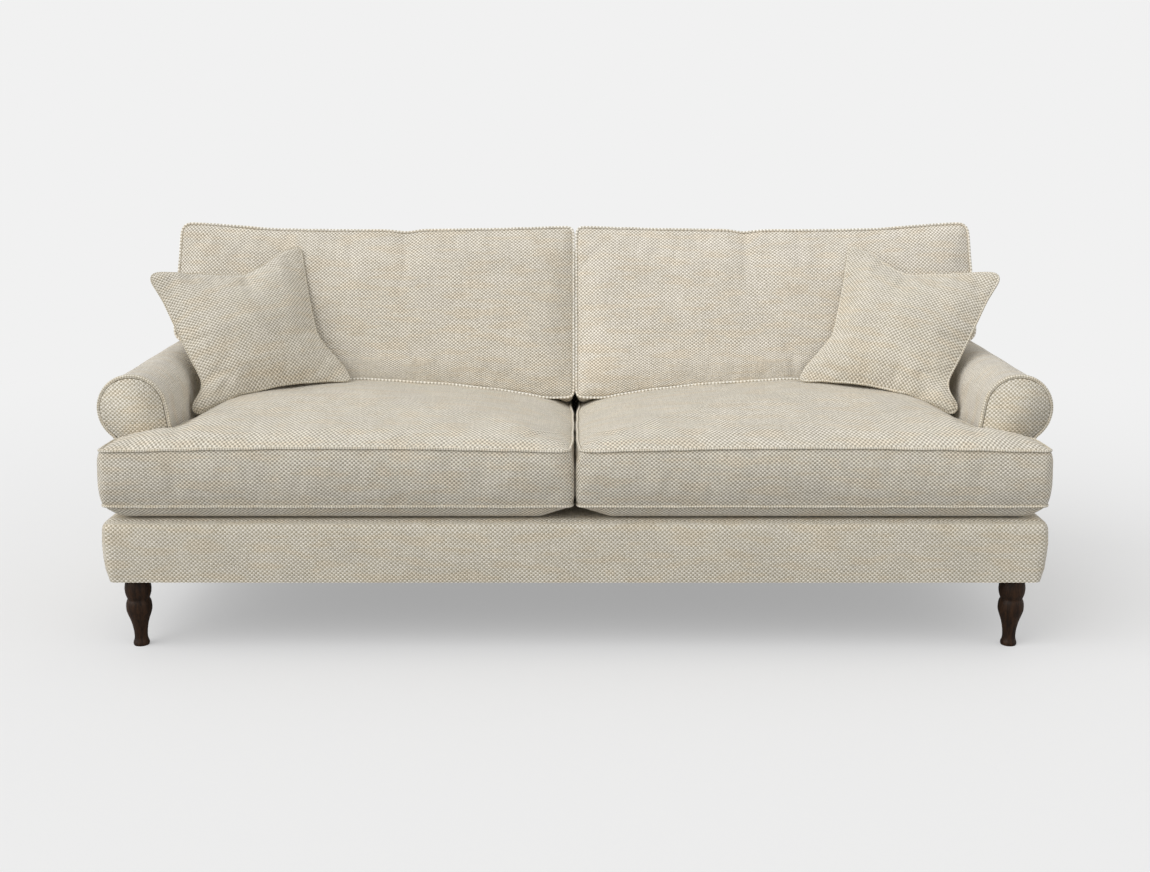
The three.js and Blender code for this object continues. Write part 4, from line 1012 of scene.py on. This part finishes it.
def make_scatter_cushion(seat_tree, back_tree):
    """Right scatter cushion: full corners, drawn-in sides, a dent in its top and a folded lower ear."""
    half = scatter_size / 2
    rim_corners = [(-half, -half), (half, -half), (half, half), (-half, half)]
    sewn_depth, rim_depth = 0.006, 0.0016
    bm = slab([(rim_corners[0], rim_corners[2])], sewn_depth, 1, scatter_step)
    stood_up(bm)
    flat = places(bm.verts)
    to_front = -(flat[:, 1] / (sewn_depth / 2)) - 1
    flat_x, flat_z = flat[:, 0], flat[:, 2]
    for right, up in ((1, 1), (1, -1), (-1, 1), (-1, -1)):
        radius = 0.026 if right > 0 else 0.015
        flat_x, flat_z = rounded_corner(flat_x, flat_z, (right * half, up * half), (-right, -up), radius)
    seam = np.maximum(np.abs(flat[:, 0]), np.abs(flat[:, 2])) > half - 1e-5
    u, v = flat_x / half, flat_z / half
    x = flat_x - clipped(u) ** 1.5 * pulled("outer", v) + clipped(-u) ** 1.5 * pulled("inner", v)
    z = flat_z - clipped(v) ** 1.5 * pulled("top", u) + clipped(-v) ** 1.5 * pulled("bottom", u)
    from_rim = edge_distance(flat_x, flat_z, rim_corners) / (0.5 * half)
    rim_gap = np.where(seam, 0, np.minimum(1, from_rim))
    edge_u, edge_v = clipped(1 - np.abs(u)), clipped(1 - np.abs(v))
    full = (edge_u * edge_v) ** 0.45 * (1 - (1 - rim_gap) ** 2.2) ** 0.35
    ear = np.exp(-((u - 0.86) ** 2 + (v + 0.88) ** 2) / 0.03)
    dent = crease(u, v, (-0.16, 1.0), (-0.06, 0.55), 0.055)
    side_fold = crease(u, v, (0.98, -0.6), (0.45, -0.42), 0.085)
    fold = side_fold + 0.55 * crease(u, v, (0.72, -1.0), (0.5, -0.6), 0.08)
    filled = (scatter_thickness / 2 - 0.003) * full * (1 - 0.6 * dent - 0.5 * fold)
    thick = np.where(seam, rim_depth, rim_depth + filled + 0.009 * ear * (rim_gap > 0))
    points = np.stack([x, -to_front * thick, z], 1)
    move_to(bm, points)
    cut = bm.loops.layers.uv.new("cut")
    for face in bm.faces:
        for loop in face.loops:
            loop[cut].uv = (loop.vert.co.x * scatter_ease, loop.vert.co.z * scatter_ease)
    rim = seam_loop(bm, seam & (np.abs(to_front) < 0.5))
    piece = finished("scatter_cushion_right", bm, cloths["scatter_right"])
    points = swollen(piece, np.where(seam, 1.0, 0.0), 0.02, 0.008)
    turned = (
        Matrix.Translation(scatter_place) @ Matrix.Rotation(-scatter_turn, 4, "Z")
        @ Matrix.Rotation(-scatter_lean, 4, "X") @ Matrix.Rotation(scatter_roll, 4, "Y")
    )
    points = points @ np.array(turned.to_3x3()).T + np.array(scatter_place)
    reach = roll_radius + scatter_gap
    pressed = []
    for point in points:
        p = Vector(point)
        hit = back_tree.ray_cast(Vector((p.x, -1.5, p.z)), Vector((0, 1, 0)))[0]
        if hit is not None:
            p.y = min(p.y, hit.y - scatter_gap)
        p.z = max(p.z, height_under(seat_tree, p) + 0.004)
        off = Vector((p.x - roll_x, 0, p.z - roll_z))
        if off.length < reach and p.y > arm_front:
            off = off.normalized() * reach
            p.x, p.z = roll_x + off.x, roll_z + off.z
        if p.z < roll_z and p.y > arm_front:
            p.x = min(p.x, arm_inner_x(p.z) - scatter_gap)
        pressed.append(p[:])
    points = np.array(pressed)
    reshaped(piece, points)
    soften(piece)
    return piece, points[rim]


scatter_right, scatter_seam = make_scatter_cushion(seat_surface, tree_of(back_right))
for piece in settled_pair("scatter", scatter_right):
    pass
seam_piping("scatter_piping", "scatter_cushion", scatter_seam, 0.0028)


# Arms


def roll_end(gap, inset=0.0):
    """The angle at which the roll meets the outer panel."""
    return -math.acos((base_half - gap - roll_x) / (roll_radius - inset))


def arm_line(inset, low, end_angle, steps):
    """Points in X and Z up the inner side of the arm and over the roll, at even steps."""
    reach = roll_radius - inset
    touch = arm_touch(inset)
    start = Vector((arm_inner_x(low, inset), low))
    straight = (touch - start).length
    arc = (arm_touch_angle - end_angle) * reach
    points = []
    for i in range(steps + 1):
        run = (straight + arc) * i / steps
        if run <= straight:
            points.append(start.lerp(touch, run / straight))
        else:
            angle = arm_touch_angle - (run - straight) / reach
            points.append(Vector((roll_x + reach * math.cos(angle), roll_z + reach * math.sin(angle))))
    return points, straight + arc


def faces_from_roll(face):
    """How far a face looks away from the axis of the roll."""
    centre = face.calc_center_median()
    return face.normal.dot(centre - Vector((roll_x, centre.y, roll_z)))


def make_arm_sleeve():
    """Cloth and wadding of the right arm, from the deck over the roll to the outer panel."""
    steps, rows = 50, 44
    tucked_under_seat, behind_panel = 0.013, 0.0055
    line, run = arm_line(0, deck_top - tucked_under_seat, roll_end(behind_panel), steps)
    bm = bmesh.new()
    bmesh.ops.create_grid(bm, x_segments=steps, y_segments=rows, size=0.5)
    flat = places(bm.verts)
    along = flat[:, 1] + 0.5
    column = np.rint((flat[:, 0] + 0.5) * steps).astype(int)
    line = np.array([p[:] for p in line])
    x, z = line[column, 0], line[column, 1]
    # Outside the back the roll runs on to the rear, where its end is closed
    beside = x > base_half - 2 * behind_panel
    rear = np.where(beside & (x > roll_x), outside_offset - 0.0125, timber_offset - 0.001)
    y = sleeve_front - 0.001 + (back_y(z, rear) - sleeve_front) * along
    cut = bm.loops.layers.uv.new("cut")
    for face in bm.faces:
        for loop in face.loops:
            index = loop.vert.index
            loop[cut].uv = (column[index] * run / steps, y[index])
    points = np.stack([x, y, z], 1)
    out = np.stack([x - roll_x, np.zeros(len(x)), z - roll_z], 1)
    out /= np.maximum(np.linalg.norm(out, axis=1, keepdims=True), 1e-9)
    slope = np.array([math.cos(arm_touch_angle), 0, math.sin(arm_touch_angle)])
    out = np.where((z < arm_touch().y)[:, None] & (x < roll_x)[:, None], slope, out)
    wave = rippled(points, 7.0, 8) * 0.0016 + rippled(points * np.array([1, 0.25, 1]), 30.0, 9) * 0.0004
    fade = clipped(along / 0.08) * clipped((1 - along) / 0.1)
    points -= out * (0.0012 + wave * fade)[:, None]
    points[:, 2] += 0.006 * eased_step(along, 0.0, 0.8) * clipped((z - roll_z) / roll_radius)
    move_to(bm, points)
    roll_faces = set(bm.faces)
    bm.verts.ensure_lookup_table()
    rim = [bm.verts[i] for i in np.argsort(column) if beside[i] and x[i] > roll_x and along[i] > 0.999]
    end = bm.faces.new(rim)
    outward(bm)
    if sum(faces_from_roll(face) for face in roll_faces) < 0:
        bmesh.ops.reverse_faces(bm, faces=bm.faces)
    stepped_in(bm, end, ((0.002, 0.0035), (0.003, 0.002), (0.006, 0.001)))
    for face in bm.faces:
        if face not in roll_faces:
            for loop in face.loops:
                loop[cut].uv = (loop.vert.co.x, loop.vert.co.z)
    walled(bm, sleeve_wadding)
    return finished("arm_sleeve_right", bm, cloths["arm"])


def make_arm_facing():
    """Padded panel on the front of the right arm, inside its piping."""
    inset, low, y = 0.0065, deck_top + 0.001, arm_front + 0.008
    line, _ = arm_line(inset, low, roll_end(inset, inset), 60)
    bm = bmesh.new()
    outline = [bm.verts.new((p.x, y, p.y)) for p in line]
    outline.append(bm.verts.new((base_half - inset, y, low)))
    face = bm.faces.new(outline)
    face.normal_update()
    if face.normal.y > 0:
        face.normal_flip()
    stepped_in(bm, face, ((0.004, 0.0035), (0.008, 0.003), (0.014, 0.0025), (0.02, 0.001)))
    outward(bm)
    cut_pattern(bm)
    walled(bm, facing_cloth)
    return finished("arm_facing_cloth_right", bm, cloths["base"])


def arm_piping_path():
    """From the deck up the inner edge of the facing, round the roll and down its outer edge."""
    inset, low, y = 0.002, deck_top + 0.0045, arm_front + arm_piping_radius
    line, _ = arm_line(inset, low, roll_end(inset, inset), 70)
    path = [(p.x, y, p.y) for p in line]
    last, foot = Vector(path[-1]), Vector((base_half - inset, y, low))
    return path + [tuple(last.lerp(foot, k / 10)) for k in range(1, 11)]


arm_sleeve = make_arm_sleeve()
arm_facing = make_arm_facing()
arm_cord = make_piping("arm_cord_right", arm_piping_path(), arm_piping_radius, cloths["piping"], False)
for piece, node in ((arm_sleeve, "arm_pad"), (arm_facing, "arm_facing"), (arm_cord, "arm_piping")):
    material = piece.data.materials[0]
    twin = mirrored(piece, piece.name.replace("right", "left"), material)
    settle(piece, "frame", "fabric", node + "_right")
    settle(twin, "frame", "fabric", node + "_left")


# Base, back and deck


def sliced(bm, low, high, spacing):
    """Cuts every face along each axis, at about the spacing, so that it can take soft shapes."""
    for axis in range(3):
        along = Vector((0, 0, 0))
        along[axis] = 1
        count = int((high[axis] - low[axis]) / spacing)
        for k in range(1, count):
            at = low + along * ((high[axis] - low[axis]) * k / count)
            parts = bm.verts[:] + bm.edges[:] + bm.faces[:]
            bmesh.ops.bisect_plane(bm, geom=parts, dist=1e-6, plane_co=at, plane_no=along)


def eased(bm, edges, width, segments=3):
    bmesh.ops.bevel(bm, geom=edges, offset=width, offset_type="OFFSET", segments=segments, profile=0.5,
                    affect="EDGES", material=-1, clamp_overlap=True)


def make_base_front():
    """Padded band across the front of the base, wrapped round both corners and over the top edge."""
    low = Vector((-base_half, base_front, base_bottom))
    high = Vector((base_half, arm_cloth_front, deck_top))
    bm = bmesh.new()
    place = Matrix.Translation((low + high) / 2) @ Matrix.Diagonal((*(high - low), 1))
    bmesh.ops.create_cube(bm, size=1, matrix=place)
    hidden = [f for f in bm.faces if f.normal.y > 0.5 or f.normal.z < -0.5]
    bmesh.ops.delete(bm, geom=hidden, context="FACES")
    cut = bm.loops.layers.uv.new("cut")
    for face in bm.faces:
        for loop in face.loops:
            x, y, z = loop.vert.co - low
            if abs(face.normal.x) > 0.5:
                loop[cut].uv = (x + math.copysign(y, face.normal.x), z)
            else:
                loop[cut].uv = (x, z + y)
    eased(bm, [e for e in bm.edges if len(e.link_faces) == 2], base_round, 5)
    sliced(bm, low, high, 0.03)
    bm.normal_update()
    for vert in bm.verts:
        up = min(max((vert.co.z - base_bottom) / (deck_top - base_bottom), 0), 1)
        swell = math.sin(math.pi * up ** 1.3) ** 0.8 * (0.004 + 0.0014 * noise.noise(vert.co * 9))
        to_rear = min(max((vert.co.y - base_front) / (arm_cloth_front - base_front), 0), 1)
        sideways = 2.2 * (1 - to_rear ** 2)
        tucked = 0.005 * max(0, 1 - up / 0.12) ** 1.5 * vert.normal.x * (1 - to_rear)
        vert.co += Vector((vert.normal.x * sideways, vert.normal.y, 0)) * swell - Vector((tucked, 0, 0))
    outward(bm)
    walled(bm, base_wadding)
    piece = finished("base_front_cloth", bm, cloths["base"])
    piece.data.set_sharp_from_angle(angle=math.radians(55))
    return piece


def packed_shape(node):
    """The shape of a frame piece as packed, with the triangles of each flat side joined to one face."""
    bm = bmesh.new()
    bm.from_mesh(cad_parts[node].data)
    for layer in list(bm.loops.layers.uv.values()):
        bm.loops.layers.uv.remove(layer)
    bmesh.ops.remove_doubles(bm, verts=bm.verts, dist=1e-6)
    bmesh.ops.dissolve_limit(bm, angle_limit=math.radians(1), verts=bm.verts, edges=bm.edges)
    for face in bm.faces:
        face.material_index = 0
    return bm


def sharp_edges(bm, degrees=25):
    least = math.radians(degrees)
    return [e for e in bm.edges if len(e.link_faces) == 2 and e.calc_face_angle() > least]


def faces_out(face):
    """Whether a face of the outside back is on its rear, its top or one of its outer sides."""
    outer_side = abs(face.normal.x) > 0.5 and face.normal.x * face.calc_center_median().x > 0
    return outer_side or face.normal.y > 0.5 or face.normal.z > 0.5


def padded_panel(name, node, round_over, material):
    """A covered panel over a frame piece of the same outline, with soft edges and gently uneven faces."""
    bm = packed_shape(node)
    if node.startswith(("seat_deck", "outside_arm")):
        # The cloth of the base comes back over these as far as the arms
        parts = bm.verts[:] + bm.edges[:] + bm.faces[:]
        front = Vector((0, sleeve_front, 0))
        bmesh.ops.bisect_plane(
            bm, geom=parts, dist=1e-6, plane_co=front, plane_no=(0, -1, 0), clear_outer=True
        )
        bmesh.ops.holes_fill(bm, edges=[e for e in bm.edges if e.is_boundary])
    if node == "outside_back":
        outer = [e for e in bm.edges if all(faces_out(f) for f in e.link_faces)]
        eased(bm, [e for e in outer if e.calc_face_angle() > 0.5], 0.009, 4)
    eased(bm, sharp_edges(bm), round_over)
    low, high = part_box(node)
    if node.startswith("outside_arm"):
        # Its top edge goes up over the end of the arm cloth
        for vert in bm.verts:
            vert.co.z += 0.008 if vert.co.z > high.z - 0.004 else 0
    sliced(bm, low, high, 0.06)
    outward(bm)
    cut_pattern(bm)
    bm.normal_update()
    for vert in bm.verts:
        vert.co += vert.normal * (noise.noise(vert.co * 6.0) * 0.0012 - 0.0006)
    return finished(name, bm, material)


base_cloth = make_base_front()
settle(base_cloth, "frame", "fabric", "front_border")
for name, node, round_over, material, slot in (
    ("outside_arm_cloth_right", "outside_arm_right", 0.003, cloths["base"], "fabric"),
    ("outside_arm_cloth_left", "outside_arm_left", 0.003, cloths["base"], "fabric"),
    ("inside_back_cloth", "inside_back", 0.006, cloths["arm"], "fabric"),
    ("outside_back_cloth", "outside_back", 0.0035, cloths["base"], "fabric"),
    ("deck_cloth", "seat_deck", 0.004, lining, "lining"),
    ("dust_sheet", "dust_cover", 0.0008, lining, "lining"),
):
    panel = padded_panel(name, node, round_over, material)
    settle(panel, "frame", slot, node)


back_welt_foot = 0.608
back_welt_offset = 0.0173
back_welt_inset = 0.0006
back_welt_corner = 0.009


def back_welt_path():
    """From one arm up the side of the back, over its top and down to the other arm."""
    side_x, top_z = base_half - back_welt_inset, back_height - back_welt_inset
    half_path = [(side_x, z) for z in np.linspace(back_welt_foot, top_z - back_welt_corner, 20)]
    half_path += [(side_x - 0.003, top_z - 0.003)]
    half_path += [(x, top_z) for x in np.linspace(side_x - back_welt_corner, 0.02, 60)]
    outline = half_path + [(-x, z) for x, z in reversed(half_path)]
    return [(x, back_y(z, back_welt_offset), z) for x, z in outline]


back_welt = make_piping("back_welt", back_welt_path(), seam_radius, cloths["piping"], False)
settle(back_welt, "frame", "fabric")


# Legs


leg_height = 0.1697
leg_radius = 0.0312
# Height and radius up the front leg's outline, each as a share of its whole height or greatest radius
leg_outline = [
    (0, 0.57), (0.01, 0.6), (0.03, 0.615), (0.05, 0.6), (0.08, 0.53), (0.114, 0.494), (0.161, 0.495),
    (0.22, 0.518), (0.279, 0.571), (0.338, 0.642), (0.396, 0.74), (0.455, 0.858), (0.514, 0.953),
    (0.561, 0.972), (0.62, 0.95), (0.655, 0.9), (0.678, 0.835), (0.686, 0.815), (0.695, 0.83), (0.726, 0.9),
    (0.773, 0.97), (0.838, 1), (0.891, 0.967), (0.93, 0.917), (1, 0.8),
]


def make_turned_leg(name, place):
    """Turned front leg: foot, ankle, swelling, ring and head."""
    heights = np.array([p[0] for p in leg_outline])
    widths = np.array([p[1] for p in leg_outline])
    bm = bmesh.new()
    fine = np.linspace(0, 1, 90)
    radii = evened(np.interp(fine, heights, widths))
    chain = [bm.verts.new((0, 0, 0))]
    chain += [bm.verts.new((leg_radius * r, 0, leg_height * t)) for r, t in zip(radii, fine)]
    chain.append(bm.verts.new((0, 0, leg_height)))
    edges = [bm.edges.new(pair) for pair in zip(chain, chain[1:])]
    bmesh.ops.spin(
        bm, geom=chain + edges, cent=(0, 0, 0), axis=(0, 0, 1), angle=2 * math.pi, steps=48, use_merge=True
    )
    bmesh.ops.remove_doubles(bm, verts=bm.verts, dist=1e-6)
    outward(bm)
    bmesh.ops.translate(bm, verts=bm.verts, vec=place)
    piece = finished(name, bm, walnut)
    piece.data.set_sharp_from_angle(angle=math.radians(50))
    return piece


def make_square_leg(name, node):
    """Tapered rear leg with its edges eased."""
    bm = packed_shape(node)
    eased(bm, [e for e in sharp_edges(bm, 60) if e.calc_length() > 0.02], 0.003)
    outward(bm)
    piece = finished(name, bm, walnut)
    piece.data.set_sharp_from_angle(angle=math.radians(35))
    return piece


for side in sides:
    low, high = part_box("front_leg_" + side)
    place = ((low.x + high.x) / 2, (low.y + high.y) / 2, 0)
    settle(make_turned_leg("turned_leg_" + side, place), "frame", "walnut", "front_leg_" + side)
    settle(make_square_leg("square_leg_" + side, "rear_leg_" + side), "frame", "walnut", "rear_leg_" + side)


# Frame and fillings, as packed


def dress(material, *nodes):
    """Gives frame pieces that stay as packed their material."""
    for node in nodes:
        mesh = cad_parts[node].data
        mesh.materials.clear()
        mesh.materials.append(material)


def both(*nodes):
    return [f"{node}_{side}" for node in nodes for side in sides]


dress(beech_x, "front_rail", "back_rail", "lower_back_rail", "back_top_rail")
dress(beech_y, "centre_rail", *both("side_rail", "arm_top_rail"))
dress(beech_z, "centre_back_post", *both("front_corner_block", "rear_corner_block", "back_post", "arm_stump"))
dress(plywood, *both("arm_inner_board"))
dress(jute, "seat_webbing", "back_webbing")
dress(zinc, *both("front_leg_bolt", "rear_leg_bolt"))


def make_filling(name, node, round_over, material):
    """A foam block or a fibre bag inside its cover, with rounded edges."""
    bm = packed_shape(node)
    if round_over:
        eased(bm, sharp_edges(bm), round_over)
    outward(bm)
    return finished(name, bm, material)


for side in sides:
    for kind, node, round_over, material, slot in (
        ("seat", "core", 0.008, foam, "foam"), ("back", "fill", 0.02, fibre, "fibre"),
        ("scatter", "pad", 0, fibre, "fibre"),
    ):
        source = f"{kind}_cushion_{node}_{side}"
        filling = make_filling(f"{kind}_filling_{side}", source, round_over, material)
        settle(filling, f"{kind}_cushion_{side}", slot, source)


# Zips


tape_half_width = 0.012
tape_step = 0.005
tape_raised = 0.0011
tape_edge_sunk = 0.0018
tape_thickness = 0.0008
tooth_pitch = 0.0026
tooth_size = (0.0015, 0.0016, 0.0046)
slider_size = (0.0085, 0.0032, 0.0092)
pull_size = (0.021, 0.0011, 0.0046)


def eased_block(bm, centre, size, round_over, segments):
    place = Matrix.Translation(centre) @ Matrix.Diagonal((*size, 1))
    verts = bmesh.ops.create_cube(bm, size=1, matrix=place)["verts"]
    eased(bm, list({edge for vert in verts for edge in vert.link_edges}), round_over, segments)


def make_zip(kind, cover):
    """Zip across the rear of a right cushion: its tape sunk in the cloth, its teeth, and its slider."""
    low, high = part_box(f"{kind}_cushion_zip_right")
    middle = (low.z + high.z) / 2
    surface = tree_of(cover)
    columns = round((high.x - low.x) / tape_step)
    tape, teeth, slider = bmesh.new(), bmesh.new(), bmesh.new()
    bmesh.ops.create_grid(tape, x_segments=columns, y_segments=10, size=0.5)
    line = {}
    for vert in tape.verts:
        x, across = low.x + (high.x - low.x) * (vert.co.x + 0.5), vert.co.y * 2
        z = middle + tape_half_width * across
        y = surface.ray_cast(Vector((x, 0.7, z)), Vector((0, -1, 0)))[0].y
        if abs(across) < 0.01:
            line[x] = y
        vert.co = (x, y + tape_raised - tape_edge_sunk * across ** 6, z)
    outward(tape)
    bmesh.ops.solidify(tape, geom=tape.faces[:], thickness=tape_thickness)
    known = sorted(line)
    for k in range(1, int((high.x - low.x) / tooth_pitch)):
        x = low.x + k * tooth_pitch
        y = np.interp(x, known, [line[at] for at in known])
        tooth = (x, y + 0.0016, middle + 0.0006 * (-1) ** k)
        eased_block(teeth, tooth, tooth_size, 0.0003, 1)
    x = low.x + 0.014
    y = line[min(known, key=lambda at: abs(at - x))]
    eased_block(slider, (x, y + 0.0022, middle), slider_size, 0.0009, 2)
    eased_block(slider, (x + 0.0155, y + 0.0036, middle), pull_size, 0.0004, 2)
    return (
        finished(f"{kind}_zip_tape_right", tape, lining),
        finished(f"{kind}_zip_teeth_right", teeth, zip_coil, False),
        finished(f"{kind}_zip_slider_right", slider, zinc, False),
    )


for kind, cover in (("seat", seat_right), ("back", back_right)):
    for piece in make_zip(kind, cover):
        is_tape = "tape" in piece.name
        twin = mirrored(piece, piece.name.replace("right", "left"), piece.data.materials[0])
        for side, made in (("right", piece), ("left", twin)):
            replaced = [f"{kind}_cushion_zip_{side}"] if is_tape else []
            slot = "steel" if "slider" in made.name else "lining"
            settle(made, f"{kind}_cushion_{side}", slot, *replaced)


# Studio and camera


backdrop_tone = (241, 241, 241)
floor_half = 60
floor_fade = (1.5, 4.0)
sky_strength = 0.68
sun_spread = math.radians(60)
lens_length = 44.98
camera_distance = 3.2045
camera_height = 1.241
camera_tilt = 12.6


def make_stage():
    """A pale floor that runs out to the horizon, where the pale background takes over."""
    bm = bmesh.new()
    bmesh.ops.create_grid(bm, x_segments=1, y_segments=1, size=floor_half)
    material, tree, shader = new_material("studio floor", 0.9, Specular_IOR_Level=0.0)
    tree.nodes.remove(shader)
    pale = add_node(tree, "BsdfDiffuse", {"Color": (0.8, 0.8, 0.8, 1)}).outputs[0]
    backdrop = add_node(tree, "Emission", {"Color": linear(*backdrop_tone), "Strength": 1.0}).outputs[0]
    place = add_node(tree, "TexCoord").outputs["Object"]
    away = add_node(tree, "VectorMath", {0: place}, operation="LENGTH").outputs["Value"]
    share = ranged(tree, away, *floor_fade, 0.4, 1.0)
    seen = add_node(tree, "MixShader", {0: share, 1: pale, 2: backdrop}).outputs[0]
    felt = add_node(tree, "BsdfDiffuse", {"Color": (0.42, 0.42, 0.42, 1)}).outputs[0]
    camera_ray = add_node(tree, "LightPath").outputs["Is Camera Ray"]
    mixed = add_node(tree, "MixShader", {0: camera_ray, 1: felt, 2: seen}).outputs[0]
    tree.links.new(mixed, tree.nodes["Material Output"].inputs["Surface"])
    floor = finished("studio_floor", bm, material, False)


def make_light():
    world = bpy.data.worlds.new("studio light")
    bpy.context.scene.world = world
    world.use_nodes = True
    tree = world.node_tree
    tree.nodes.clear()
    soft = add_node(tree, "Background", {"Color": (1.0, 1.0, 1.0, 1), "Strength": sky_strength}).outputs[0]
    seen = add_node(tree, "Background", {"Color": linear(*backdrop_tone), "Strength": 1.0}).outputs[0]
    paths = add_node(tree, "LightPath").outputs
    shows = sums(tree, "MAXIMUM", paths["Is Camera Ray"], paths["Is Transmission Ray"])
    mixed = add_node(tree, "MixShader", {0: shows, 1: soft, 2: seen}).outputs[0]
    output = tree.nodes.new("ShaderNodeOutputWorld")
    tree.links.new(mixed, output.inputs["Surface"])
    for name, strength, direction in (
        ("key light", 1.66, (0.95, 0.5, -0.85)), ("fill light", 0.25, (-0.9, 0.35, -0.4)),
    ):
        lamp = bpy.data.lights.new(name, "SUN")
        lamp.energy = strength
        lamp.angle = sun_spread
        lamp_object = bpy.data.objects.new(name, lamp)
        lamp_object.rotation_euler = Vector(direction).to_track_quat("-Z", "Y").to_euler()
        bpy.context.scene.collection.objects.link(lamp_object)


def make_camera():
    """The photograph's view: a 45 mm lens, 3.2 m in front of the seat and tipped 12.6 degrees down."""
    data = bpy.data.cameras.new("photograph's camera")
    data.lens = lens_length
    data.sensor_width = 36
    camera = bpy.data.objects.new("photograph's camera", data)
    camera.location = (0, -camera_distance - half_depth, camera_height)
    camera.rotation_euler = (math.radians(90 - camera_tilt), 0, 0)
    bpy.context.scene.collection.objects.link(camera)
    bpy.context.scene.camera = camera


make_stage()
make_light()
make_camera()
bpy.context.scene.view_settings.view_transform = "Standard"
